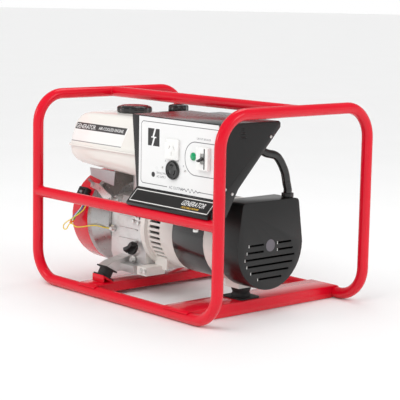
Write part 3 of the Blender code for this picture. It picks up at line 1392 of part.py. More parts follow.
def locking_socket():
    """Black round socket whose curved slots lock the plug by a turn."""
    centre = panel_point(0.118, 0.0482)
    rim = SOCKET_RADIUS
    profile = [(0, 0), (0, rim), (0.004, rim), (0.0065, rim - 0.002), (0.0065, rim - 0.004),
               (0.005, rim - 0.0045), (0.005, 0)]
    item = place("locking_socket", turned(profile, centre, (0, -1, 0), 32), BLACK_PLASTIC)
    slots = [arc_slot(centre, 0.0115, start, start + 62, 0.0015) for start in (60, 180, 300)]
    return cut(item, merged(*slots))


def pilot_lamp():
    centre = panel_point(0.183, 0.084)
    rim = LAMP_RADIUS
    profile = [(0, 0), (0, rim), (0.002, rim), (0.0025, rim - 0.0012), (0.0045, rim - 0.002),
               (0.006, rim * 0.5), (0.0065, 0)]
    return place("pilot_lamp", turned(profile, centre, (0, -1, 0), 20), GREEN)


def breaker():
    """White breaker block with a black toggle in a slot."""
    centre = panel_point(0.219, 0.083)
    half_x = BREAKER_WIDTH / 2
    half_z = BREAKER_HEIGHT / 2
    face = centre.y - BREAKER_DEPTH
    item = place("breaker_body", box((centre.x - half_x, face, centre.z - half_z),
                                     (centre.x + half_x, centre.y, centre.z + half_z)), WHITE)
    slot = box((centre.x - 0.0055, face - 0.004, centre.z - 0.011),
               (centre.x + 0.0055, face + 0.007, centre.z + 0.011))
    cut(item, slot)
    pivot = Vector((centre.x, face + 0.003, centre.z))
    toggle = place("breaker_toggle",
                   disc((pivot.x - 0.0048, pivot.y, pivot.z), (1, 0, 0), 0.0032, 0.0096, 16),
                   BLACK_PLASTIC, pivot)
    arm = prism([(pivot.y, pivot.z - 0.0024), (pivot.y, pivot.z + 0.0024),
                 (pivot.y - 0.0150, pivot.z + 0.0018),
                 (pivot.y - 0.0150, pivot.z - 0.0018)], "YZ", pivot.x - 0.0040, pivot.x + 0.0040)
    weld(toggle, turned_about(arm, pivot, (1, 0, 0), TOGGLE_REST))


def conduit():
    """Black conduit between two glands: from the box's sloping back down into the alternator's cover."""
    lower = Vector((COVER_FACE_X - 0.018, SHAFT_Y + COVER_RADIUS - 0.032, SHAFT_Z + COVER_RADIUS + FIT_GAP))
    slope_low = Vector((0, BOX_FRONT_Y + 0.055, PANEL_BOTTOM_Z + 0.018))
    slope_high = Vector((0, BOX_REAR_Y, BOX_TOP_Z - BOX_REAR_DROP))
    slope = (slope_high - slope_low).normalized()
    out = Vector((0, slope.z, -slope.y))
    upper = slope_low + (slope_high - slope_low) * 0.72 + Vector((lower.x - 0.020, 0, 0)) + out * FIT_GAP
    nut = 0.010
    for name, point, axis in (("conduit_gland_lower", lower, Vector((0, 0, 1))),
                              ("conduit_gland_upper", upper, out)):
        place(name, hexagon(point, axis, 0.0235, nut), BLACK_PLASTIC)
    start = upper + out * (nut + FIT_GAP)
    end = lower + Vector((0, 0, nut + FIT_GAP))
    span = end - start
    route = [start, start + out * 0.004, start + out * 0.010]
    for across, down in ((0.316, 0.163), (0.68, 0.25), (0.91, 0.537), (0.98, 0.82)):
        route.append(start + Vector((span.x * (across + down) / 2, span.y * across, span.z * down)))
    route += [end + Vector((0, 0, 0.008)), end + Vector((0, 0, 0.004)), end]
    round_tube("conduit", smooth_route(route, 2), CONDUIT_RADIUS, BLACK_PLASTIC, 14)


def build_control_box():
    control_box()
    control_panel()
    name_plate()
    outlet()
    locking_socket()
    pilot_lamp()
    breaker()
    conduit()


clear_scene()
build_frame()
build_engine()
build_alternator()
build_control_box()
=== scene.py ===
"""Looks for the open-frame generator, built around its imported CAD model.

Metres. +X is the alternator end, -Y the control panel side and +Z up.
"""

import math

import bmesh
import bpy
import numpy as np
from mathutils import Matrix, Vector


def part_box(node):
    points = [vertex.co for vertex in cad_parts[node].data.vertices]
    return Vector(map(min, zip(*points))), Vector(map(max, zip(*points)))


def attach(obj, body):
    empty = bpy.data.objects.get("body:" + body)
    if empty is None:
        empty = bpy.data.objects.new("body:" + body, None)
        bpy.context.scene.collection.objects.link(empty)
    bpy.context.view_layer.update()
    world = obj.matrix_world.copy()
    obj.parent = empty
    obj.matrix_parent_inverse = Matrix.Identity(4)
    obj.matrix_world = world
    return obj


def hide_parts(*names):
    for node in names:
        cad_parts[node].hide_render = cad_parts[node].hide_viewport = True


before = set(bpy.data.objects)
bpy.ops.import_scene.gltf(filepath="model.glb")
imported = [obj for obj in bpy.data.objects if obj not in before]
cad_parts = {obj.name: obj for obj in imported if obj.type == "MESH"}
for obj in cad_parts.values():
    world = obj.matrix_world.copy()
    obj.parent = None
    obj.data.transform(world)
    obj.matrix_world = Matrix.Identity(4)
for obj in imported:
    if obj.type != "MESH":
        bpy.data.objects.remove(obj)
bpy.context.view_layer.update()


# ---- Studio: a pale seamless floor, soft lamps all round and one camera ----
# The floor is matt pale paper. Two broad, soft lights come from the front and the right, and three narrow
# strips at the left, the right and overhead give the enamel and the black paint their clean highlights.
class Wire:
    """A shader socket and the material it is in. Sums on wires and numbers add the Math nodes they need."""

    def __init__(self, tree, socket):
        self.tree = tree
        self.socket = socket

    def node(self, kind, settings=None, inputs=None, output=0):
        """Adds a node with these settings, and values or wires in its sockets. Returns one of its outputs."""
        made = self.tree.nodes.new(kind)
        for name, value in (settings or {}).items():
            setattr(made, name, value)
        for key, value in (inputs or {}).items():
            if isinstance(value, Wire):
                self.tree.links.new(value.socket, made.inputs[key])
            else:
                made.inputs[key].default_value = value
        return Wire(self.tree, made.outputs[output])

    def math(self, operation, *others):
        return self.node("ShaderNodeMath", {"operation": operation}, dict(enumerate((self, *others))))

    def __add__(self, other):
        return self.math("ADD", other)

    def __sub__(self, other):
        return self.math("SUBTRACT", other)

    def __rsub__(self, other):
        return self.math("MULTIPLY", -1.0).math("ADD", other)

    def __mul__(self, other):
        return self.math("MULTIPLY", other)

    def __truediv__(self, other):
        return self.math("DIVIDE", other)

    def __abs__(self):
        return self.math("ABSOLUTE")

    __radd__ = __add__
    __rmul__ = __mul__

    def lowest(self, other):
        return self.math("MINIMUM", other)

    def highest(self, other):
        return self.math("MAXIMUM", other)

    def rise(self, low, high):
        """0 below low, 1 above high and a smooth step between them."""
        return self.node("ShaderNodeMapRange", {"interpolation_type": "SMOOTHSTEP"},
                         {"Value": self, "From Min": low, "From Max": high})

    def between(self, low, high, soft=0.0002):
        """1 from low to high, 0 outside, with soft edges."""
        return self.rise(low - soft, low) * (1 - self.rise(high, high + soft))

    def noise(self, scale, detail=3.0, roughness=0.5):
        return self.node("ShaderNodeTexNoise", None, {"Vector": self, "Scale": scale, "Detail": detail,
                                                      "Roughness": roughness})

    def cells(self, scale):
        return self.node("ShaderNodeTexVoronoi", None, {"Vector": self, "Scale": scale})

    def stretched(self, x, y, z):
        return self.node("ShaderNodeMapping", None, {"Vector": self, "Scale": (x, y, z)})

    def split(self):
        parts = self.tree.nodes.new("ShaderNodeSeparateXYZ")
        self.tree.links.new(self.socket, parts.inputs[0])
        return [Wire(self.tree, out) for out in parts.outputs]

    def tint(self, first, second):
        """This mask's mix of two colours, each given as three numbers or a wire."""
        sides = [c if isinstance(c, Wire) else (*c, 1.0) for c in (first, second)]
        return self.node("ShaderNodeMix", {"data_type": "RGBA"}, {0: self, 6: sides[0], 7: sides[1]}, 2)


def start(name):
    """A new material, and the wire that carries the piece's own coordinates."""
    material = bpy.data.materials.new(name)
    material.use_nodes = True
    material.node_tree.nodes.clear()
    tree = material.node_tree
    return material, Wire(tree, tree.nodes.new("ShaderNodeTexCoord").outputs["Object"])


def finish(place, sockets, relief=None, depth=0.0, edge=0.0):
    """Principled shader: its sockets, a relief and its height in metres, and how round its edges look."""
    normal = place.node("ShaderNodeBevel", {"samples": 4}, {"Radius": edge}) if edge else None
    if relief is not None:
        height = {"Strength": 1.0, "Distance": depth, "Height": relief}
        normal = place.node("ShaderNodeBump", None, height | ({"Normal": normal} if normal else {}))
    if normal:
        sockets = sockets | {"Normal": normal}
    shader = place.node("ShaderNodeBsdfPrincipled", None, sockets)
    output = place.tree.nodes.new("ShaderNodeOutputMaterial")
    place.tree.links.new(shader.socket, output.inputs["Surface"])


paper, at = start("studio paper")
fleck = at.noise(3.0, 4.0)
finish(at, {"Base Color": fleck.tint((0.90, 0.90, 0.90), (0.93, 0.93, 0.93)),
            "Roughness": fleck * 0.1 + 0.55},
       at.noise(220.0), 0.0002)
FLOOR_RADIUS = 40.0
turn = np.linspace(0, 2 * math.pi, 96, endpoint=False)
floor_mesh = bpy.data.meshes.new("studio_floor")
floor_mesh.from_pydata(np.stack([FLOOR_RADIUS * np.cos(turn), FLOOR_RADIUS * np.sin(turn), turn * 0 - 0.0003],
                                1)
                       .tolist(), [], [list(range(96))])
floor_mesh.materials.append(paper)
studio_floor = bpy.data.objects.new("studio_floor", floor_mesh)
bpy.context.scene.collection.objects.link(studio_floor)

world = bpy.data.worlds.new("studio")
world.use_nodes = True
sky = world.node_tree
facing = Wire(sky, sky.nodes.new("ShaderNodeTexCoord").outputs["Generated"]).split()[2]
ray = sky.nodes.new("ShaderNodeLightPath")
seen, mirrored = Wire(sky, ray.outputs["Is Camera Ray"]), Wire(sky, ray.outputs["Is Glossy Ray"])
horizon = 1 - abs(facing).rise(0.18, 0.42)
level = seen + mirrored * (horizon * 0.55 + 0.28) + (1 - seen - mirrored) * 0.66
sky.links.new(level.socket, sky.nodes["Background"].inputs["Strength"])
sky.nodes["Background"].inputs["Color"].default_value = (1.0, 1.0, 1.0, 1.0)
bpy.context.scene.world = world
bpy.context.scene.view_settings.view_transform = "Standard"


def towards(azimuth, elevation):
    """Direction from the middle of the set: azimuth turns from the front to the alternator end. Degrees."""
    a, e = math.radians(azimuth), math.radians(elevation)
    return Vector((math.sin(a) * math.cos(e), -math.cos(a) * math.cos(e), math.sin(e)))


for name, kind, azimuth, elevation, distance, size, power in (
        ("key_light", "SUN", 8, 52, 3.0, 45, 1.25), ("side_light", "SUN", 100, 30, 3.0, 50, 0.55),
        ("left_strip", "AREA", -35, 30, 2.6, 0.7, 5.0), ("right_strip", "AREA", 110, 34, 2.4, 0.6, 4.0),
        ("top_strip", "AREA", 200, 70, 2.2, 0.9, 6.0)):
    lamp = bpy.data.lights.new(name, kind)
    lamp.energy = power
    if kind == "SUN":
        lamp.angle = math.radians(size)
    else:
        lamp.size = size
    holder = bpy.data.objects.new(name, lamp)
    holder.visible_glossy = kind == "AREA"
    back = towards(azimuth, elevation)
    aim = back.to_track_quat("Z", "Y").to_matrix().to_4x4()
    holder.matrix_world = Matrix.Translation(back * distance) @ aim
    bpy.context.scene.collection.objects.link(holder)

CAMERA_AZIMUTH = 48.51
CAMERA_ELEVATION = 8.33
CAMERA_ROLL = math.radians(1.06)
CAMERA_DISTANCE = 3.3
MIDDLE_HEIGHT = 0.23205
lens = bpy.data.cameras.new("camera")
lens.sensor_width = 36.0
lens.lens = 127.3
lens.shift_x = 0.007575
lens.shift_y = -0.014625
camera = bpy.data.objects.new("camera", lens)
back = towards(CAMERA_AZIMUTH, CAMERA_ELEVATION)
right = Vector((0, 0, 1)).cross(back).normalized()
turned = Matrix((right, back.cross(right), back)).transposed().to_4x4()
camera.matrix_world = (Matrix.Translation(Vector((0, 0, MIDDLE_HEIGHT)) + back * CAMERA_DISTANCE) @ turned
                       @ Matrix.Rotation(CAMERA_ROLL, 4, "Z"))
bpy.context.scene.collection.objects.link(camera)
bpy.context.scene.camera = camera


# ---- Tube frame: two bent hoops, the top and middle rails, and the folded cross channels
# 25.4 mm steel tube bent round a 70 mm former and butted under the set. The rails are coped and MIG welded to
# the hoops, the channels lap the bottom rails, and the whole frame is dipped in gloss crimson enamel.
def enamel(name, deep, bright):
    """Gloss enamel: a slow change of shade, faint orange peel, fine scuffs, and dust close to the ground."""
    material, at = start(name)
    cloud = at.noise(9.0)
    scuff = at.stretched(1.0, 1.0, 0.15).noise(420.0, 2.0, 0.7).rise(0.66, 0.74)
    low = 1 - at.split()[2].rise(0.002, 0.016)
    dust = low * at.noise(60.0, 4.0) * 0.22
    finish(at, {"Base Color": dust.tint(cloud.tint(deep, bright), (0.42, 0.20, 0.18)),
                "Roughness": cloud * 0.10 + scuff * 0.12 + low * 0.15 + 0.17,
                "Specular IOR Level": 0.28, "Coat Weight": 0.22, "Coat Roughness": 0.06},
           at.noise(330.0, 2.0), 0.00004, 0.0008)
    return material


def skinned(grid, joined=False, capped=True):
    """A mesh over a grid of points (rows, columns, 3): faces between neighbours, and columns closed round.

    The rows close too when joined is set. Otherwise a capped end is a fan from the middle of its row.
    """
    rows, columns = grid.shape[:2]
    points = grid.reshape(-1, 3)
    index = np.arange(rows * columns).reshape(rows, columns)
    if joined:
        index = np.concatenate([index, index[:1]])
    following = np.roll(index, -1, 1)
    faces = np.stack([index[:-1], following[:-1], following[1:], index[1:]], 2).reshape(-1, 4).tolist()
    if capped and not joined:
        for row, middle in ((0, len(points)), (-1, len(points) + 1)):
            faces += np.stack([index[row], following[row], np.full(columns, middle)], 1).tolist()
        points = np.concatenate([points, grid[[0, -1]].mean(1)])
    mesh = bpy.data.meshes.new("skin")
    mesh.from_pydata(points.tolist(), [], faces)
    return mesh


def tube(path, radius, sides=32, beside=(1.0, 1.0, -1.0), joined=False):
    """A circle carried along a path: centre + radius * (cos t * across + sin t * up), square to the path.

    The radius is one number, or one for each point of the path.
    """
    path = np.asarray(path, float)
    along = np.roll(path, -1, 0) - np.roll(path, 1, 0) if joined else np.gradient(path, axis=0)
    along /= np.linalg.norm(along, axis=1, keepdims=True)
    across = np.cross(along, beside)
    across /= np.linalg.norm(across, axis=1, keepdims=True)
    up = np.cross(across, along)
    t = np.linspace(0, 2 * math.pi, sides, endpoint=False)[None, :, None]
    ring = np.cos(t) * across[:, None] + np.sin(t) * up[:, None]
    size = np.broadcast_to(np.asarray(radius, float), (len(path),))
    return skinned(path[:, None] + size[:, None, None] * ring, joined)


def bent(corners, radius, steps=14):
    """Points of a path that is straight between corners and turns each on a quarter circle of that radius."""
    corners = np.asarray(corners, float)
    points = [corners[:1]]
    t = np.linspace(0, math.pi / 2, steps)[:, None]
    for before, corner, after in zip(corners[:-2], corners[1:-1], corners[2:]):
        into = (corner - before) / np.linalg.norm(corner - before)
        out = (after - corner) / np.linalg.norm(after - corner)
        points.append(corner + radius * ((np.sin(t) - 1) * into + (1 - np.cos(t)) * out))
    return np.concatenate([*points, corners[-1:]])


def gathered(*meshes):
    """One mesh that holds all of these."""
    bm = bmesh.new()
    for mesh in meshes:
        bm.from_mesh(mesh)
        bpy.data.meshes.remove(mesh)
    whole = bpy.data.meshes.new("whole")
    bm.to_mesh(whole)
    bm.free()
    return whole


def piece(name, mesh, material, stands_for=(), crease=35, body="generator"):
    """Makes one finished piece: faces outwards, smooth up to the crease angle, riding on its body."""
    mesh.name = name
    bm = bmesh.new()
    bm.from_mesh(mesh)
    bmesh.ops.remove_doubles(bm, verts=bm.verts, dist=1e-6)
    bmesh.ops.recalc_face_normals(bm, faces=bm.faces)
    bm.to_mesh(mesh)
    bm.free()
    mesh.shade_smooth()
    mesh.set_sharp_from_angle(angle=math.radians(crease))
    mesh.materials.clear()
    mesh.materials.append(material)
    made = bpy.data.objects.new(name, mesh)
    bpy.context.scene.collection.objects.link(made)
    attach(made, body)
    if stands_for:
        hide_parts(*stands_for)
    return made


welded = bpy.data.node_groups.new("weld and shade", "GeometryNodeTree")
welded.interface.new_socket("Geometry", in_out="INPUT", socket_type="NodeSocketGeometry")
welded.interface.new_socket("Geometry", in_out="OUTPUT", socket_type="NodeSocketGeometry")
CREASE = math.radians(33)
steps = [Wire(welded, welded.nodes.new("NodeGroupInput").outputs[0])]
steps.append(steps[-1].node("GeometryNodeRemoveAttribute", None,
                            {"Geometry": steps[-1], "Name": "custom_normal"}))
steps.append(steps[-1].node("GeometryNodeMergeByDistance", None, {"Geometry": steps[-1], "Distance": 1e-6}))
steps.append(steps[-1].node("GeometryNodeSetShadeSmooth", None,
                            {"Geometry": steps[-1], "Shade Smooth": True}))
fold = steps[-1].node("GeometryNodeInputMeshEdgeAngle")
sharp = steps[-1].node("FunctionNodeCompare", {"data_type": "FLOAT", "operation": "GREATER_THAN"},
                       {0: fold, 1: CREASE})
steps.append(steps[-1].node("GeometryNodeSetShadeSmooth", {"domain": "EDGE"},
                            {"Geometry": steps[-1], "Selection": sharp, "Shade Smooth": False}))
welded.links.new(steps[-1].socket, welded.nodes.new("NodeGroupOutput").inputs[0])


def dress(material, *names, round_edges=0.0):
    """Gives CAD nodes their finish, and shades them smooth up to the crease angle on welded faces."""
    for name in names:
        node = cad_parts[name]
        node.data.materials.clear()
        node.data.materials.append(material)
        if round_edges:
            weld = node.modifiers.new("weld", "WELD")
            weld.merge_threshold = 1e-6
            edges = node.modifiers.new("edges", "BEVEL")
            edges.width = round_edges
            edges.segments = 2
            edges.limit_method = "ANGLE"
            edges.angle_limit = math.radians(40)
        node.modifiers.new("shade", "NODES").node_group = welded


frame_red = enamel("gloss crimson enamel", (0.64, 0.0010, 0.014), (0.78, 0.0020, 0.022))
TUBE_RADIUS = 0.0127
BEND_RADIUS = 0.070
hoop_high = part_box("hoop_right")[1]
HOOP_X = hoop_high.x - TUBE_RADIUS
RAIL_Y = hoop_high.y - TUBE_RADIUS
TOP_Z = hoop_high.z - TUBE_RADIUS
MID_Z = (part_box("mid_rail")[0].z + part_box("mid_rail")[1].z) / 2
SEAM_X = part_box("hoop_right")[0].x
for name, side, seam in (("hoop_left", -1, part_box("hoop_left")[1].x), ("hoop_right", 1, SEAM_X)):
    x = side * HOOP_X
    route = bent([(seam, -RAIL_Y, TUBE_RADIUS), (x, -RAIL_Y, TUBE_RADIUS), (x, -RAIL_Y, TOP_Z),
                  (x, RAIL_Y, TOP_Z), (x, RAIL_Y, TUBE_RADIUS), (seam, RAIL_Y, TUBE_RADIUS)], BEND_RADIUS)
    piece(name + "_tube", tube(route, TUBE_RADIUS, 40), frame_red, (name,))


def coped(side_wave):
    """Distance from a crossing tube's axis to its surface, at a share of the radius beside that axis."""
    return TUBE_RADIUS * np.sqrt(np.maximum(1 - side_wave ** 2, 0))


around = np.linspace(0, 2 * math.pi, 96, endpoint=False)
for name, y, z, wave in (("top_rail", 0.0, TOP_Z, np.sin(around)),
                         ("mid_rail", -RAIL_Y, MID_Z, np.cos(around))):
    ends = [np.stack([sign * (HOOP_X - coped(wave)), y + TUBE_RADIUS * np.cos(around),
                      z + TUBE_RADIUS * np.sin(around)], 1) for sign in (-1, 1)]
    piece(name + "_tube", skinned(np.stack(ends)), frame_red, (name,), 60)
    corner = np.sqrt(np.maximum(1 - wave ** 2, 0))
    size = (0.0007 + 0.0019 * corner) * (1 + 0.14 * np.cos(36 * around))
    out = TUBE_RADIUS - size * (1 - corner)
    beads = [tube(np.stack([sign * (HOOP_X - coped(wave)), y + out * np.cos(around),
                            z + out * np.sin(around)], 1),
                  size, 10, (1.0, 0.0, 0.0), True) for sign in (-1, 1)]
    piece(name + "_welds", gathered(*beads), frame_red)

dress(frame_red, "channel_engine", "channel_alternator", "mount_bracket_front", "mount_bracket_rear",
      round_edges=0.0009)


# ---- Rubber mounts and frame screws ----------------------------------------
# Moulded natural rubber bonded between steel plates carries the engine and the alternator. Zinc plated screws
# through the middle rail hold the control box's front flange.
def rubber_skin(name, shade, gloss):
    """Moulded rubber: dull black with a grey bloom and a fine pebbled skin."""
    material, at = start(name)
    bloom = at.noise(70.0, 4.0, 0.6)
    finish(at, {"Base Color": bloom.rise(0.4, 0.75).tint((shade, shade, shade),
                                                         (shade * 2.4, shade * 2.3, shade * 2.2)),
                "Roughness": bloom * 0.25 + gloss}, at.noise(1400.0, 2.0), 0.00006, 0.0006)
    return material


def plated(name, colour, rough, grain=300.0):
    """Plated or bare metal: bright, with faint clouding and fine rubbed lines."""
    material, at = start(name)
    cloud = at.noise(120.0, 3.0)
    lines = at.stretched(1.0, 1.0, 0.12).noise(grain * 4, 2.0, 0.6)
    finish(at, {"Base Color": cloud.tint(tuple(0.82 * c for c in colour), colour), "Metallic": 1.0,
                "Roughness": lines * 0.16 + cloud * 0.10 + rough}, lines, 0.00002, 0.0004)
    return material


rubber = rubber_skin("moulded rubber", 0.012, 0.50)
zinc = plated("bright zinc plate", (0.86, 0.86, 0.84), 0.16)
dress(rubber, "engine_mount_front", "engine_mount_rear", "alternator_mount")
dress(zinc, "rail_screw_left", "rail_screw_right", round_edges=0.0004)


# ---- Engine castings: crankcase, cylinder, head, valve cover and blower shroud
# Die-cast aluminium with a fine shot-blasted skin, bolted together on gaskets. The blower shroud is a pressed
# and polished sheet that leads air to the fins. The valve cover is pressed steel.
def cast(name, light, dark, metallic, rough, grit, grain=520.0):
    """Sand or die cast metal: a fine blasted grain, soft stains and small pits."""
    material, at = start(name)
    stain = at.noise(26.0, 4.0, 0.6)
    skin = at.noise(grain, 4.0, 0.7)
    pits = 1 - at.cells(grain * 0.55).rise(0.05, 0.16)
    soil = (stain.rise(0.48, 0.78) * 0.55 + pits * 0.25).lowest(1.0)
    finish(at, {"Base Color": soil.tint(light, dark), "Metallic": metallic,
                "Roughness": skin * 0.20 + soil * 0.08 + rough},
           skin - pits * 0.5, grit, 0.0011)
    return material


die_cast = cast("die-cast aluminium", (0.74, 0.73, 0.72), (0.40, 0.39, 0.38), 0.70, 0.27, 0.00010)
shroud = plated("polished shroud sheet", (0.50, 0.49, 0.485), 0.17, 60.0)
pressed_steel = plated("pressed steel", (0.60, 0.60, 0.61), 0.24)
dress(die_cast, "crankcase", "cylinder", "cylinder_head", "flywheel")
dress(shroud, "blower_housing")
dress(pressed_steel, "rocker_cover", "rotor_shaft", "tank_stay")
dress(zinc, "drain_bolt", "earth_bolt", "governor_arm")


def hexagon_reach(t):
    """Distance from the middle of a hexagon to its side at angle t, with its flats one unit away."""
    return 1 / np.cos((t + math.pi / 6) % (math.pi / 3) - math.pi / 6)


def turned_round(profile, centre, axis, sides=48, lobes=None):
    """A profile of (height, radius) pairs turned about an axis: centre + height * axis + radius * spoke(t).

    lobes, a function of angle, scales the radius round the axis.
    """
    profile = np.asarray(profile, float)
    axis = Vector(axis).normalized()
    spoke = Vector((0, 0, 1)) if abs(axis.z) < 0.9 else Vector((1, 0, 0))
    spoke = (spoke - axis * spoke.dot(axis)).normalized()
    side = np.array(axis.cross(spoke))
    t = np.linspace(0, 2 * math.pi, sides, endpoint=False)
    around = np.cos(t)[:, None] * np.array(spoke) + np.sin(t)[:, None] * side
    scale = np.ones(sides) if lobes is None else lobes(t)
    grid = (np.array(centre) + profile[:, :1, None] * np.array(axis)
            + (profile[:, 1, None] * scale)[..., None] * around)
    return skinned(grid)


def hex_bolt(centre, axis, across, height, washer):
    """Flanged bolt head: a round washer face, and a hexagon with its corners turned off at the top."""
    half = across / 2
    head = turned_round([(washer * 0.5, half), (height - half * 0.16, half), (height, half * 0.87)],
                        centre, axis, 48, hexagon_reach)
    face = turned_round([(0, half * 1.30), (washer * 0.7, half * 1.30), (washer, half * 1.18)],
                        centre, axis, 32)
    return gathered(head, face)


front_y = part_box("drain_bolt")[1].y
bolts = [hex_bolt((x, front_y + 0.0006, z), (0, -1, 0), 0.0085, 0.0055, 0.0014)
         for x, z in ((-0.082, 0.1690), (-0.064, 0.1660))]
piece("crankcase_cover_bolts", gathered(*bolts), zinc)
bolts = [hex_bolt((x, -0.1468, 0.0640), (0, -1, 0), 0.0095, 0.0055, 0.0014) for x in (-0.022, -0.007)]
piece("adapter_foot_bolts", gathered(*bolts), zinc)


# ---- Fan cover and recoil starter ------------------------------------------
# Deep-drawn sheet in the same crimson enamel. The starter's pulley and D grip are moulded black nylon.
cover_red = enamel("cover crimson enamel", (0.68, 0.0010, 0.014), (0.80, 0.0030, 0.024))


def moulded(name, shade, rough, grain=900.0, depth=0.00003, gloss=0.0):
    """Moulded plastic: even colour with a faint mould bloom, and a fine spark-eroded texture."""
    material, at = start(name)
    bloom = at.noise(40.0)
    light = tuple(min(1.0, c * 1.25 + 0.004) for c in shade)
    finish(at, {"Base Color": bloom.tint(shade, light), "Roughness": bloom * 0.12 + rough,
                "Coat Weight": gloss},
           at.noise(grain, 2.0), depth, 0.0006)
    return material


black_moulding = moulded("black moulding", (0.010, 0.010, 0.010), 0.30)
gloss_black = moulded("gloss black moulding", (0.008, 0.008, 0.008), 0.12, 300.0, 0.00002, 0.4)
dress(cover_red, "fan_cover", "recoil_housing")
dress(black_moulding, "recoil_pulley", "recoil_grip", "oil_filler_cap", "choke_lever", "fuel_valve_lever",
      "spark_plug_cap", "spark_lead")


# ---- Fuel tank -------------------------------------------------------------
# Two deep-drawn steel halves seam-welded at a flat lip, in warm white enamel, with a printed film on the
# front. The cap is a glossy black moulding with finger lobes.
tank_low, tank_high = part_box("fuel_tank")
LIP = 0.004
SEAM_Z = 0.3335
FLOOR_FALL = 0.014
tank_length = tank_high.x - tank_low.x - 2 * LIP
floor_z = tank_low.z - FLOOR_FALL * 0.1
rise = tank_high.z - SEAM_Z
TANK_LEVELS = [(0.058, 0.028, floor_z, 0.020, 1), (0.040, 0.021, floor_z + 0.0012, 0.022, 1),
               (0.024, 0.014, floor_z + 0.004, 0.024, 1), (0.014, 0.009, floor_z + 0.0085, 0.024, 1),
               (0.008, 0.0055, floor_z + 0.015, 0.024, 0.95), (0.003, 0.002, SEAM_Z - 0.026, 0.023, 0.3),
               (0.0012, 0.0008, SEAM_Z - 0.012, 0.022, 0.05), (0.0004, 0.0004, SEAM_Z - 0.0032, 0.022, 0),
               (-0.0008, -0.0008, SEAM_Z - 0.0021, 0.022, 0), (-0.0034, -0.0034, SEAM_Z - 0.0020, 0.025, 0),
               (-LIP, -LIP, SEAM_Z - 0.0014, 0.026, 0), (-LIP, -LIP, SEAM_Z + 0.0014, 0.026, 0),
               (-0.0034, -0.0034, SEAM_Z + 0.0020, 0.025, 0), (-0.0008, -0.0008, SEAM_Z + 0.0021, 0.022, 0),
               (0.0006, 0.0004, SEAM_Z + 0.0032, 0.022, 0), (0.0034, 0.0018, SEAM_Z + rise * 0.22, 0.0225, 0),
               (0.0068, 0.0036, SEAM_Z + rise * 0.42, 0.023, 0),
               (0.0108, 0.0062, SEAM_Z + rise * 0.62, 0.024, 0),
               (0.0150, 0.0095, SEAM_Z + rise * 0.76, 0.025, 0),
               (0.0205, 0.0140, SEAM_Z + rise * 0.865, 0.026, 0),
               (0.0275, 0.0190, SEAM_Z + rise * 0.935, 0.026, 0),
               (0.0380, 0.0270, SEAM_Z + rise * 0.982, 0.026, 0),
               (0.0540, 0.0400, SEAM_Z + rise, 0.024, 0)]


def rounded_ring(low, high, radius, per_corner=10):
    """Points round a rectangle whose corners are quarter circles: corner centre + radius * (cos t, sin t)."""
    t = np.linspace(0, math.pi / 2, per_corner)
    corners = []
    for quarter, (x,
                  y) in enumerate(((high[0], high[1]), (low[0], high[1]), (low[0], low[1]),
                                   (high[0], low[1]))):
        inward = np.array([-1, 1, 1, -1])[quarter] * radius, np.array([-1, -1, 1, 1])[quarter] * radius
        a = t + quarter * math.pi / 2
        corners.append(np.stack([x + inward[0] + radius * np.cos(a), y + inward[1] + radius * np.sin(a)], 1))
    return np.concatenate(corners)


wall_low = np.array([tank_low.x + LIP, tank_low.y + LIP])
wall_high = np.array([tank_high.x - LIP, tank_high.y - LIP])
rings = []
for inset_x, inset_y, z, radius, fall in TANK_LEVELS:
    ring = rounded_ring(wall_low + (inset_x, inset_y), wall_high - (inset_y, inset_y), radius)
    height = z + fall * FLOOR_FALL * (wall_high[0] - ring[:, 0]) / tank_length
    rings.append(np.column_stack([ring, height]))
tank_shell = skinned(np.stack(rings))


def tank_front(z):
    """The tank's front wall at each height: its lowest y plus the inset of the level at that height."""
    levels = np.array(TANK_LEVELS)
    return wall_low[1] + np.interp(z, levels[:, 2], levels[:, 1])


BAND_LOW, BAND_HIGH = 0.3725, 0.3880
BAND_LEFT, BAND_RIGHT = -0.262, -0.072
LINE_Z = 0.3440
white_enamel, at = start("warm white enamel")
x, y, z = at.split()
cloud = at.noise(7.0)
front = 1 - y.rise(wall_low[1] + 0.014, wall_low[1] + 0.016)
slant = x - (z - BAND_LOW) * 0.45
band = slant.between(BAND_LEFT, BAND_RIGHT) * z.between(BAND_LOW, BAND_HIGH)
line = z.between(LINE_Z - 0.0010, LINE_Z + 0.0010) * slant.between(BAND_LEFT, BAND_RIGHT + 0.004)
film = slant.between(BAND_LEFT, BAND_RIGHT + 0.004) * z.between(LINE_Z, BAND_HIGH) * front
shell = film.tint(cloud.tint((0.83, 0.80, 0.745), (0.87, 0.845, 0.80)), (0.90, 0.89, 0.87))
ink = band.tint((0.30, 0.30, 0.30), (0.035, 0.032, 0.032))
finish(at, {"Base Color": (band.highest(line) * front).tint(shell, ink),
            "Roughness": cloud * 0.08 + film * 0.10 + 0.16,
            "Coat Weight": 0.35, "Coat Roughness": 0.05}, at.noise(260.0, 2.0), 0.00003)
piece("fuel_tank_shell", tank_shell, white_enamel, ("fuel_tank",), 50)


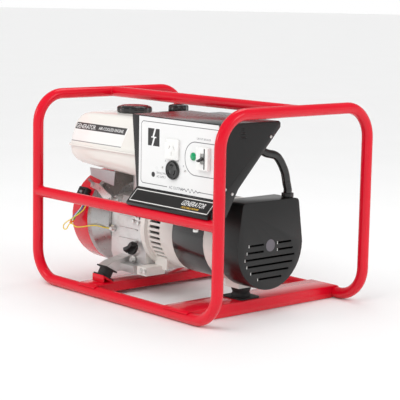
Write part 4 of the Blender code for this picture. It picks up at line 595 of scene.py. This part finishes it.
def lettering(text, height, slant=0.0, width=1.0):
    """Flat lettering as a mesh in its own X and Y, with its lower left corner at the origin."""
    curve = bpy.data.curves.new("lettering", "FONT")
    curve.body = text
    curve.size = height * 1.42
    curve.shear = slant
    curve.offset = height * 0.012
    curve.fill_mode = "BOTH"
    curve.extrude = 0.00008
    curve.resolution_u = 3
    carrier = bpy.data.objects.new("lettering", curve)
    bpy.context.scene.collection.objects.link(carrier)
    bpy.context.view_layer.update()
    mesh = bpy.data.meshes.new_from_object(carrier.evaluated_get(bpy.context.evaluated_depsgraph_get()))
    bpy.data.objects.remove(carrier)
    bpy.data.curves.remove(curve)
    points = np.empty(len(mesh.vertices) * 3, np.float32)
    mesh.vertices.foreach_get("co", points)
    points = points.reshape(-1, 3)
    points[:, 0] = (points[:, 0] - points[:, 0].min()) * width
    mesh.vertices.foreach_set("co", points.ravel())
    return mesh


def laid(mesh, place):
    """Moves a flat mesh onto a surface. place turns its points' x, y and thickness into new points."""
    points = np.empty(len(mesh.vertices) * 3, np.float32)
    mesh.vertices.foreach_get("co", points)
    moved = place(*points.reshape(-1, 3).astype(float).T)
    mesh.vertices.foreach_set("co", moved.astype(np.float32).ravel())
    return mesh


def on_tank(left, low):
    """Places lettering on the tank's front wall with its lower left corner there."""
    return lambda u, v, w: np.stack([left + u, tank_front(low + v) - 0.0001 - w, low + v], 1)


def ink(name, colour, rough=0.35):
    """Screen printing ink: even colour with a slightly starved, mottled face."""
    material, at = start(name)
    mottle = at.noise(900.0, 2.0)
    finish(at, {"Base Color": mottle.tint(tuple(0.9 * c for c in colour), colour),
                "Roughness": mottle * 0.15 + rough})
    return material


white_ink = ink("white ink", (0.86, 0.86, 0.85))
black_ink = ink("black ink", (0.025, 0.024, 0.024))
grey_ink = ink("grey ink", (0.32, 0.32, 0.33))
gold_ink = ink("amber ink", (0.80, 0.48, 0.05))
words = [laid(lettering("GENERATOR", 0.0100, 0.2, 0.90), on_tank(-0.2560, 0.3752)),
         laid(lettering("AIR COOLED ENGINE", 0.0068, 0.2, 0.98), on_tank(-0.1700, 0.3768))]
piece("tank_lettering", gathered(*words), white_ink)


def lobed(count, depth, power=1.0):
    """Finger lobes round a cap: 1 on the lobes, less by depth between them."""
    return lambda t: 1 - depth * (0.5 - 0.5 * np.cos(count * t)) ** power


cap_low, cap_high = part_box("fuel_cap")
cap_centre = ((cap_low.x + cap_high.x) / 2, (cap_low.y + cap_high.y) / 2, cap_low.z)
cap_radius = (cap_high.x - cap_low.x) / 2
cap_height = cap_high.z - cap_low.z
cap_skirt = turned_round([(0, cap_radius * 0.86), (0.0008, cap_radius * 0.96), (0.0030, cap_radius),
                          (cap_height * 0.62, cap_radius), (cap_height * 0.78, cap_radius * 0.975),
                          (cap_height * 0.88, cap_radius * 0.92), (cap_height * 0.90, cap_radius * 0.84)],
                         cap_centre, (0, 0, 1), 144, lobed(9, 0.075, 2.0))
cap_crown = turned_round([(cap_height * 0.60, cap_radius * 0.80), (cap_height * 0.93, cap_radius * 0.80),
                          (cap_height * 0.985, cap_radius * 0.77), (cap_height, cap_radius * 0.72),
                          (cap_height * 0.97, cap_radius * 0.62), (cap_height * 0.955, cap_radius * 0.3),
                          (cap_height * 0.95, cap_radius * 0.05)], cap_centre, (0, 0, 1), 72)
piece("fuel_cap_moulding", gathered(cap_skirt, cap_crown), gloss_black, ("fuel_cap",), 50,
      "fuel_cap")


# ---- Air cleaner, carburettor and levers -----------------------------------
# Moulded black case and lid, clamped by a scalloped knob, on a die-cast carburettor.
dress(black_moulding, "air_cleaner_case", "air_cleaner_cover", round_edges=0.0012)
dress(die_cast, "carburettor")
knob_low, knob_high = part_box("air_cleaner_knob")
knob_centre = (knob_low.x + 0.026, (knob_low.y + knob_high.y) / 2, knob_low.z)
knob_height = knob_high.z - knob_low.z
knob_profile = [(0, 0.018), (0.0006, 0.0235), (0.0022, 0.0252), (knob_height * 0.75, 0.0252),
                (knob_height * 0.92, 0.0238), (knob_height, 0.0205), (knob_height, 0.0150),
                (knob_height * 0.90, 0.0135), (knob_height * 0.88, 0.001)]
piece("air_cleaner_knob_moulding",
      turned_round(knob_profile, knob_centre, (0, 0, 1), 120, lobed(6, 0.11, 2.0)),
      gloss_black, ("air_cleaner_knob",), 50, "air_cleaner_knob")


# ---- Muffler and its guard -------------------------------------------------
# Aluminised steel box, straw coloured from heat near its pipe, behind a slotted steel guard.
hot_steel, at = start("heat-tinted steel")
low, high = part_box("muffler")
heat = (at.split()[2] - low.z) / (high.z - low.z) + at.noise(30.0) * 0.3
straw = heat.rise(0.15, 0.55).tint((0.30, 0.22, 0.20), (0.50, 0.44, 0.34))
finish(at, {"Base Color": heat.rise(0.5, 1.0).tint(straw, (0.55, 0.54, 0.52)), "Metallic": 0.9,
            "Roughness": at.noise(160.0, 4.0) * 0.25 + 0.34}, at.noise(700.0, 3.0), 0.00006, 0.0012)
dress(hot_steel, "muffler")
dress(pressed_steel, "muffler_guard", round_edges=0.0005)


# ---- Engine switch and its leads -------------------------------------------
# A rocker in a moulded box. Coloured PVC leads with orange end sleeves hang from it in a loose bundle. The
# yellow one runs on, in a large loop and a small one, to the earth bolt on the crankcase.
dress(black_moulding, "engine_switch_body", round_edges=0.0008)
dress(gloss_black, "engine_switch_rocker", round_edges=0.0005)


def smooth_route(points, steps=8):
    """A soft curve through points: the Catmull-Rom cubic of each four neighbours, in equal steps."""
    points = np.asarray(points, float)
    padded = np.concatenate([2 * points[:1] - points[1:2], points, 2 * points[-1:] - points[-2:-1]])
    a, b, c, d = padded[:-3, None], padded[1:-2, None], padded[2:-1, None], padded[3:, None]
    t = np.linspace(0, 1, steps, endpoint=False)[None, :, None]
    bend = (2 * a - 5 * b + 4 * c - d) * t ** 2 + (3 * b - a - 3 * c + d) * t ** 3
    curve = 0.5 * (2 * b + (c - a) * t + bend)
    return np.concatenate([curve.reshape(-1, 3), points[-1:]])


yellow_lead = moulded("yellow lead", (0.80, 0.62, 0.04), 0.30)
blue_lead = moulded("blue lead", (0.02, 0.07, 0.45), 0.28)
green_lead = moulded("green lead", (0.02, 0.40, 0.08), 0.28)
white_lead = moulded("white lead", (0.78, 0.78, 0.76), 0.28)
violet_lead = moulded("violet lead", (0.16, 0.05, 0.35), 0.28)
orange_sleeve = moulded("orange sleeve", (0.85, 0.25, 0.02), 0.30)
switch = np.array([-0.231, -0.1532, 0.1942])
BUNDLE = switch + np.array([(0, 0, 0), (-0.004, -0.008, -0.014), (-0.018, -0.014, -0.030),
                            (-0.028, -0.016, -0.044)])
bundle_route = smooth_route(BUNDLE, 10)
lead_share = np.linspace(0, 1, len(bundle_route))[:, None]
LEAD_RADIUS = 0.0015
SLEEVE_END_RADIUS = 0.0018
LEADS = [("black", black_moulding, 0.0, "plastic_black", ("lead_bundle",)),
         ("blue", blue_lead, 1.25, "plastic_black", ()),
         ("white", white_lead, 2.5, "plastic_white", ()),
         ("green", green_lead, 3.8, "plastic_black", ()),
         ("violet", violet_lead, 5.0, "plastic_black", ())]
for lead, material, turn, slot, stands_for in LEADS:
    angle = turn + 2.6 * lead_share
    reach = 0.0030 + 0.0024 * lead_share ** 3
    run = bundle_route + reach * np.concatenate([np.cos(angle), 0.5 * np.sin(angle), 0.8 * np.sin(angle)], 1)
    piece(lead + "_lead", tube(run, LEAD_RADIUS, 12, (1, 0, 0)), material, stands_for)
    onward = run[-1] - run[-2]
    tip = run[-1] + np.linspace(-0.005, 0.0035, 6)[:, None] * onward / np.linalg.norm(onward)
    piece(lead + "_lead_end", tube(tip, SLEEVE_END_RADIUS, 14, (1, 0, 0)), orange_sleeve)
side = switch + (0.0075, 0.0, -0.002)
earth_point = np.array([-0.1630, -0.1271, 0.1405])
EARTH_LOOPS = [(0.000, -0.012, -0.014), (-0.024, -0.024, -0.034), (-0.041, -0.029, -0.045),
               (-0.051, -0.030, -0.054), (-0.049, -0.030, -0.062), (-0.040, -0.029, -0.061),
               (-0.034, -0.027, -0.051), (-0.026, -0.024, -0.046), (-0.019, -0.021, -0.052),
               (-0.004, -0.017, -0.053)]
EARTH_ROUTE = [side, *(side + step for step in EARTH_LOOPS), earth_point + (-0.028, -0.028, 0.006),
               earth_point + (-0.010, -0.007, 0.001), earth_point]
EARTH_LEAD_RADIUS = 0.0013
piece("earth_lead", tube(smooth_route(EARTH_ROUTE, 10), EARTH_LEAD_RADIUS, 12, (0.2, 1.0, 0.3)), yellow_lead,
      ("earth_wire",))


# ---- Governor spring -------------------------------------------------------
# Close-wound steel spring from the governor arm to a hook on the shroud, behind the middle rail.
def helix(start, end, radius, turns, per_turn=20):
    """Points of a coil: along the line from start to end, plus radius * (cos t, sin t) square to it."""
    start, end = np.asarray(start, float), np.asarray(end, float)
    axis = (end - start) / np.linalg.norm(end - start)
    across = np.cross(axis, (0, 1, 0))
    across /= np.linalg.norm(across)
    t = np.linspace(0, 1, int(turns * per_turn) + 1)[:, None]
    turn = 2 * math.pi * turns * t
    spoke = np.cos(turn) * across + np.sin(turn) * np.cross(axis, across)
    return start + (end - start) * t + radius * spoke


spring = helix((-0.2080, -0.1405, 0.2400), (-0.2330, -0.1405, 0.2530), 0.0030, 11)
SPRING_WIRE_RADIUS = 0.0005
piece("governor_spring", tube(spring, SPRING_WIRE_RADIUS, 8, (0.1, 0.2, 1.0)), pressed_steel)


# ---- Alternator: adapter casting, stator band and end bell -----------------
# Cream painted sand castings, rough to the touch, clamp a gloss black rolled band round the laminations.
cream_cast = cast("cream painted casting", (0.84, 0.815, 0.77), (0.70, 0.67, 0.62), 0.0, 0.42, 0.00016, 640.0)
dress(cream_cast, "adapter_housing", "end_bell")
band_enamel, at = start("gloss black band")
cloud = at.noise(12.0)
swirl = at.stretched(0.3, 1.0, 1.0).noise(90.0, 2.0)
finish(at, {"Base Color": cloud.tint((0.010, 0.0095, 0.0095), (0.018, 0.017, 0.017)),
            "Roughness": swirl * 0.10 + cloud * 0.06 + 0.14, "Coat Weight": 0.5, "Coat Roughness": 0.08},
       at.stretched(0.15, 1.0, 1.0).noise(60.0, 2.0), 0.00012)
stator_low, stator_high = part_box("stator")
stator_radius = (stator_high.z - stator_low.z) / 2
shaft = np.array([0.0, (stator_low.y + stator_high.y) / 2, (stator_low.z + stator_high.z) / 2])
length = stator_high.x - stator_low.x
bore = 0.064
RIM = 0.0012
band_profile = [(0, bore), (0, stator_radius - RIM), (0.0004, stator_radius - 0.0003), (RIM, stator_radius),
                (length - RIM, stator_radius), (length - 0.0004, stator_radius - 0.0003),
                (length, stator_radius - RIM), (length, bore), (0, bore)]
piece("stator_band", turned_round(band_profile, (stator_low.x, shaft[1], shaft[2]), (1, 0, 0), 96),
      band_enamel, ("stator",), 40)


# ---- End cover -------------------------------------------------------------
# Pressed sheet in fine black powder coat over the brush gear, with a dark plate behind it that is painted
# shade for the inside of the cover. It has six rows of air slots, with bright zinc marks at their ends that
# are painted highlights, and a grey plug in the shaft hole.
def powder(name, shade, rough=0.36, grain=0.00004):
    """Powder coat: a fine leathery orange peel with a satin face."""
    material, at = start(name)
    peel = at.noise(1100.0, 2.0)
    cloud = at.noise(18.0)
    finish(at, {"Base Color": cloud.tint((shade, shade * 0.96, shade * 0.95),
                                         (shade * 1.5, shade * 1.42, shade * 1.4)),
                "Roughness": peel * 0.14 + rough, "Specular IOR Level": 0.40}, peel, grain, 0.0016)
    return material


black_powder = powder("black powder coat", 0.0070, 0.24)
dress(black_powder, "end_cover", round_edges=0.0010)
cover_low, cover_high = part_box("end_cover")
face_x = cover_high.x
grey_plug = moulded("grey plug", (0.110, 0.100, 0.115), 0.40)
plug_profile = [(-0.004, 0.0130), (0.0, 0.0134), (0.0006, 0.0136), (0.0011, 0.0130), (0.0013, 0.0110),
                (0.0015, 0.0060), (0.0016, 0.0002)]
piece("shaft_plug", turned_round(plug_profile, (face_x - 0.0008, shaft[1], shaft[2]), (1, 0, 0), 64),
      grey_plug)
COVER_RADIUS = 0.098
COVER_TOP_HALF = 0.085
COVER_CORNER = 0.010
COVER_SHEET = 0.002
SLOT_PITCH = 0.0151
slot_z = shaft[2] + 0.0039 - SLOT_PITCH * np.arange(6)
slot_half = np.minimum(np.sqrt(0.080 ** 2 - (slot_z - shaft[2]) ** 2), 0.0634 + 0.0054 * np.arange(6))


def slot_end_glint(y, z):
    """Bright zinc mark at the end of a slot, a painted highlight for the glint there: an I shape, a stem with
    a foot at its top and bottom.
    """
    stem = turned_round([(0, 0.0009), (0.0007, 0.0008), (0.0009, 0.0004)], (face_x - 0.0001, y, z),
                        (1, 0, 0), 16, lambda t: 1 / np.maximum(np.abs(np.cos(t)) * 0.35, np.abs(np.sin(t))))
    feet = [tube([(face_x + 0.0003, y - 0.0014, z + dz), (face_x + 0.0003, y + 0.0012, z + dz)], 0.0005, 10)
            for dz in (-0.0026, 0.0026)]
    return gathered(stem, *feet)


def cover_ring(inset, x, steps=40):
    """The cover's outline at one x: a half circle below, and straight sides up to a round-cornered top."""
    radius = COVER_RADIUS - inset
    t = np.linspace(math.pi, 2 * math.pi, steps)
    bowl = np.stack([shaft[1] + radius * np.cos(t), shaft[2] + radius * np.sin(t)], 1)
    t = np.linspace(0, math.pi / 2, 8)
    reach = COVER_TOP_HALF - inset - COVER_CORNER
    crown = COVER_RADIUS - inset - COVER_CORNER
    near = np.stack([shaft[1] + reach + COVER_CORNER * np.cos(t),
                     shaft[2] + crown + COVER_CORNER * np.sin(t)], 1)
    far = np.stack([shaft[1] - reach - COVER_CORNER * np.sin(t),
                    shaft[2] + crown + COVER_CORNER * np.cos(t)], 1)
    ring = np.concatenate([bowl, near, far])
    return np.column_stack([np.full(len(ring), x), ring])


# A black plate across the back of the cover is painted shade: a dark sheet that stands for the shade inside
# the cover behind the slots.
shade_plate_rings = [cover_ring(COVER_SHEET + 0.0002, cover_low.x + inward) for inward in (0.0006, 0.0016)]
piece("cover_shade_plate", skinned(np.stack(shade_plate_rings)), black_powder)
# Bright zinc marks at the slot ends: painted highlights that stand for light catching the ends of the slots.
ends = [(shaft[1] - half - 0.0012, z) for half, z in zip(slot_half, slot_z)]
ends += [(shaft[1] + 0.0208, z) for z in slot_z[:2]]
piece("slot_end_glints", gathered(*[slot_end_glint(y, z) for y, z in ends]), zinc)


# ---- Control box -----------------------------------------------------------
# Folded 1.5 mm sheet in the same powder coat, closed by pan-head screws, with three pressed louvres in its
# flank.
box_powder = powder("box powder coat", 0.0075, 0.14)
dress(box_powder, "control_box", round_edges=0.0012)
dress(black_moulding, "conduit_gland_upper", "conduit_gland_lower", round_edges=0.0008)
flank_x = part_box("control_box")[1].x


def screw_head(centre, axis, radius=0.0036, height=0.0022):
    """Pan head with a crossed recess: height * (1 - rho^4)^0.5 less a cross-shaped well, on a polar grid."""
    axis = Vector(axis).normalized()
    spoke = Vector((0, 0, 1)) if abs(axis.z) < 0.9 else Vector((1, 0, 0))
    side = np.array(axis.cross(spoke))
    rho = np.linspace(1, 0.03, 15)[:, None]
    t = np.linspace(0, 2 * math.pi, 48, endpoint=False)[None]
    u, v = rho * np.cos(t + 0.4), rho * np.sin(t + 0.4)
    arm = np.minimum(np.abs(u), np.abs(v)) < 0.15
    well = np.where(arm & (rho < 0.62), 0.75 * height * (1 - rho), 0)
    lift = height * (1 - rho ** 4) ** 0.5 - well
    grid = (np.array(centre) + radius * (u[..., None] * np.array(spoke) + v[..., None] * side)
            + lift[..., None] * np.array(axis))
    foot = grid[:1] - np.array(axis) * 0.0012
    return skinned(np.concatenate([foot, grid]))


flank = [screw_head((flank_x - 0.0002, y, z), (1, 0, 0))
         for y, z in ((-0.056, 0.397), (-0.185, 0.293), (-0.165, 0.282))]
piece("flank_screws", gathered(*flank), zinc, crease=28)


def louvre(centre, half_length, half_height, lift):
    """Pressed louvre on the flank: lift * (1 - u^4) * sqrt((1 - v) / 1.7), flat below v = -0.7.

    u runs along the louvre and v up it, both from -1 to 1, so the sheet steps out at a sharp lower lip.
    """
    u = np.linspace(-1, 1, 25)[:, None]
    v = np.linspace(-1, 1, 9)[None]
    height = lift * (1 - u ** 4) * np.where(v < -0.7, 0.0, np.sqrt(np.clip((1 - v) / 1.7, 0, 1)))
    y = centre[1] + half_length * u + 0 * v
    z = centre[2] + half_height * v + 0 * u
    top = np.stack([centre[0] + height, y, z], 2)
    back = top.copy()
    back[..., 0] = centre[0] - 0.0006
    return skinned(np.concatenate([top, back[:, ::-1]], 1))


vents = [louvre((flank_x, -0.138, z), half, 0.0022, 0.0016)
         for z, half in ((0.4165, 0.004), (0.4080, 0.0070), (0.3990, 0.0105))]
piece("flank_louvres", gathered(*vents), box_powder, crease=28)


# ---- Control panel ---------------------------------------------------------
# White faced aluminium plate, screen printed in black and grey, with the outlets, the lamp and the breaker
# in it. Two small pan-head screws stand beside the round socket.
face_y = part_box("control_panel")[0].y


def frame_line(x, z, low, high, radius, half_width):
    """A printed rounded rectangle: 1 where the distance to its outline is under half the line's width.

    The distance is that of a box with its corners drawn in by the radius, less the radius.
    """
    across = (abs(x - (low[0] + high[0]) / 2) - ((high[0] - low[0]) / 2 - radius))
    upright = (abs(z - (low[1] + high[1]) / 2) - ((high[1] - low[1]) / 2 - radius))
    corner = across.highest(0.0) * across.highest(0.0) + upright.highest(0.0) * upright.highest(0.0)
    distance = corner.math("SQRT") + across.highest(upright).lowest(0.0) - radius
    return 1 - abs(distance).rise(half_width, half_width + 0.00035)


panel_white, at = start("printed white panel")
x, y, z = at.split()
border = frame_line(x, z, (0.0440, 0.2815), (0.3300, 0.4180), 0.0085, 0.00065)
keep_clear = 1 - z.between(0.2750, 0.2900) * x.between(0.1340, 0.2430)
pocket = frame_line(x, z, (0.1915, 0.3160), (0.3300, 0.3870), 0.0330, 0.00075)
wave = (x * (2 * math.pi / 0.0125)).math("SINE") * 0.0042 * (1 - abs(x - 0.2105) / 0.034)
pulse = (1 - abs(z - 0.2815 - wave).rise(0.0008, 0.0014)) * x.between(0.1780, 0.2430)
tile = x.between(0.0670, 0.1060) * z.between(0.3660, 0.4040)
bolt_x = x - 0.0865 - (z - 0.3850) * 0.38
gap = (bolt_x + 0.0022).between(-0.0026, 0.0026) * z.between(0.3850, 0.4040)
gap = gap.highest((bolt_x - 0.0022).between(-0.0026, 0.0026) * z.between(0.3660, 0.3850))
gap = gap.highest(z.between(0.3838, 0.3862) * x.between(0.0780, 0.0950))
cloud = at.noise(14.0)
sheet = cloud.tint((0.84, 0.84, 0.835), (0.88, 0.88, 0.875))
thin = (border * keep_clear).highest(pocket).highest(pulse)
printed = thin.tint(sheet, (0.16, 0.16, 0.17))
printed = (tile * (1 - gap)).tint(printed, (0.022, 0.021, 0.021))
finish(at, {"Base Color": printed, "Roughness": cloud * 0.10 + 0.24}, at.noise(500.0, 2.0), 0.00002, 0.0007)
dress(panel_white, "control_panel")


def on_panel(left, low):
    """Places lettering on the panel's face with its lower left corner there."""
    return lambda u, v, w: np.stack([left + u, face_y - w - 0.00002, low + v], 1)


labels = [("AC OUTPUT", 0.0064, 0.1400, 0.2785), ("CIRCUIT BREAKER", 0.0042, 0.2280, 0.3930),
          ("SINGLE PHASE", 0.0048, 0.0980, 0.3065), ("AC SUPPLY", 0.0048, 0.0980, 0.2985),
          ("ON", 0.0036, 0.2290, 0.3720), ("OFF", 0.0036, 0.2285, 0.3350), ("A", 0.0042, 0.1250, 0.3355),
          ("B", 0.0042, 0.1860, 0.3300)]
words = [laid(lettering(text, size, 0.0, 0.92), on_panel(left, low)) for text, size, left, low in labels]
piece("panel_lettering", gathered(*words), grey_ink)
mark = turned_round([(0, 0.0058), (0.0001, 0.0058), (0.0001, 0.0038), (0, 0.0038), (0, 0.0058)],
                    (0.0865, face_y - 0.00002, 0.3035), (0, -1, 0), 48)
piece("earth_mark", mark, black_ink)
heads = [screw_head((x, face_y, z), (0, -1, 0), 0.0026, 0.0015) for x, z in ((0.118, 0.322), (0.193, 0.322))]
piece("outlet_screws", gathered(*heads), zinc, crease=28)

white_moulding = moulded("white moulding", (0.80, 0.80, 0.78), 0.22, 500.0)
dress(white_moulding, "outlet", "breaker_body", round_edges=0.0006)
dress(gloss_black, "locking_socket", "breaker_toggle", round_edges=0.0004)
strip_low, strip_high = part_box("breaker_body")


def slab(low, high, radius):
    """A plate with rounded corners, between two faces square to Y."""
    ring = rounded_ring((low[0], low[2]), (high[0], high[2]), radius, 6)
    edge = 0.0003
    small = rounded_ring((low[0] + edge, low[2] + edge), (high[0] - edge, high[2] - edge),
                         max(radius - edge, 1e-4), 6)
    rows = [np.column_stack([ring[:, 0], np.full(len(ring), high[1]), ring[:, 1]]),
            np.column_stack([ring[:, 0], np.full(len(ring), low[1] + edge), ring[:, 1]]),
            np.column_stack([small[:, 0], np.full(len(ring), low[1]), small[:, 1]])]
    return skinned(np.stack(rows))


strip = slab((strip_high.x - 0.0125, strip_low.y - 0.0004, 0.3330),
             (strip_high.x - 0.0090, strip_low.y + 0.0002, 0.3770), 0.0008)
piece("breaker_strip", strip, gloss_black)

lamp_low, lamp_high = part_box("pilot_lamp")
lamp_centre = ((lamp_low.x + lamp_high.x) / 2, lamp_high.y, (lamp_low.z + lamp_high.z) / 2)
lens_green, at = start("green lens")
rings = at.noise(500.0)
finish(at, {"Base Color": rings.tint((0.000, 0.20, 0.07), (0.005, 0.38, 0.15)),
            "Roughness": rings * 0.10 + 0.06, "Coat Weight": 0.6,
            "Emission Color": rings.tint((0.0, 0.20, 0.07), (0.02, 0.45, 0.18)),
            "Emission Strength": 0.25}, rings, 0.00008)
lens_profile = [(0, 0.0066), (0.0026, 0.0066), (0.0040, 0.0062), (0.0052, 0.0048), (0.0060, 0.0026),
                (0.0062, 0.0003)]
piece("lamp_lens", turned_round(lens_profile, lamp_centre, (0, -1, 0), 40), lens_green,
      ("pilot_lamp",), 50)
bezel_profile = [(0, 0.0085), (0.0016, 0.0085), (0.0026, 0.0080), (0.0030, 0.0073), (0.0026, 0.0067),
                 (0, 0.0067), (0, 0.0085)]
piece("lamp_bezel", turned_round(bezel_profile, lamp_centre, (0, -1, 0), 48), lens_green,
      (), 50)


# ---- Name strip ------------------------------------------------------------
# Black strip on the sloping nose under the panel, with a white printed line round it and generic lettering.
plate_low, plate_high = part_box("name_plate")
strip_face, at = start("printed black strip")
x, y, z = at.split()
cloud = at.noise(15.0)
outline = frame_line(x, z, (plate_low.x + 0.0035, plate_low.z + 0.0035),
                     (plate_high.x - 0.0035, plate_high.z - 0.0030), 0.0012, 0.0006)
base = cloud.tint((0.012, 0.011, 0.011), (0.020, 0.019, 0.018))
finish(at, {"Base Color": outline.tint(base, (0.80, 0.79, 0.77)), "Roughness": cloud * 0.12 + 0.26},
       at.noise(700.0), 0.00002, 0.0006)
dress(strip_face, "name_plate")
slope = np.array([plate_low.y - plate_high.y, plate_low.z - plate_high.z])
slope /= np.linalg.norm(slope)


def on_strip(left, low):
    """Places lettering on the sloping strip: up the slope from its lower edge, a hair proud of its face."""
    outward = np.array([slope[1], -slope[0]])
    foot = np.array([plate_low.y, plate_low.z]) + outward * 0.00062
    return lambda u, v, w: np.column_stack([left + u, (foot[0] + outward[0] * w - slope[0] * (low + v)),
                                            (foot[1] + outward[1] * w - slope[1] * (low + v))])


words = [laid(lettering("GENERATOR", 0.0125, 0.3, 0.72), on_strip(0.2000, 0.0165))]
piece("strip_lettering", gathered(*words), white_ink)
words = [laid(lettering("PORTABLE POWER", 0.0048, 0.3, 0.95), on_strip(0.2060, 0.0085))]
piece("strip_small_lettering", gathered(*words), gold_ink)


# ---- Conduit ---------------------------------------------------------------
# The output leads in one glossy black taped sleeve between the two glands. The tape's turns show as soft
# steps.
CONDUIT_START = np.array([0.2520, -0.0537, 0.3734])
CONDUIT_END = np.array([0.2720, 0.0252, 0.2671])
CONDUIT_OUT = np.array([0.0, 0.7241, -0.6897])
span = CONDUIT_END - CONDUIT_START
ROUTE_SHARES = [(0.316, 0.163), (0.68, 0.25), (0.91, 0.537), (0.98, 0.82)]
knots = [CONDUIT_START - CONDUIT_OUT * 0.004, CONDUIT_START + CONDUIT_OUT * 0.004,
         CONDUIT_START + CONDUIT_OUT * 0.010]
knots += [CONDUIT_START + (span[0] * (across + down) / 2, span[1] * across, span[2] * down)
          for across, down in ROUTE_SHARES]
knots += [CONDUIT_END + (0, 0, 0.008), CONDUIT_END, CONDUIT_END - (0, 0, 0.004)]
run = smooth_route(knots, 12)
run_length = np.concatenate([[0], np.cumsum(np.linalg.norm(np.diff(run, axis=0), axis=1))])
TAPE_PITCH = 0.016
lap = (run_length / TAPE_PITCH) % 1.0
SLEEVE_RADIUS, TAPE_STEP = 0.0092, 0.0003
piece("conduit_sleeve", tube(run, SLEEVE_RADIUS + TAPE_STEP * (1 - lap) ** 0.5, 28, (1.0, 0.3, 0.0)),
      gloss_black, ("conduit",), 60)
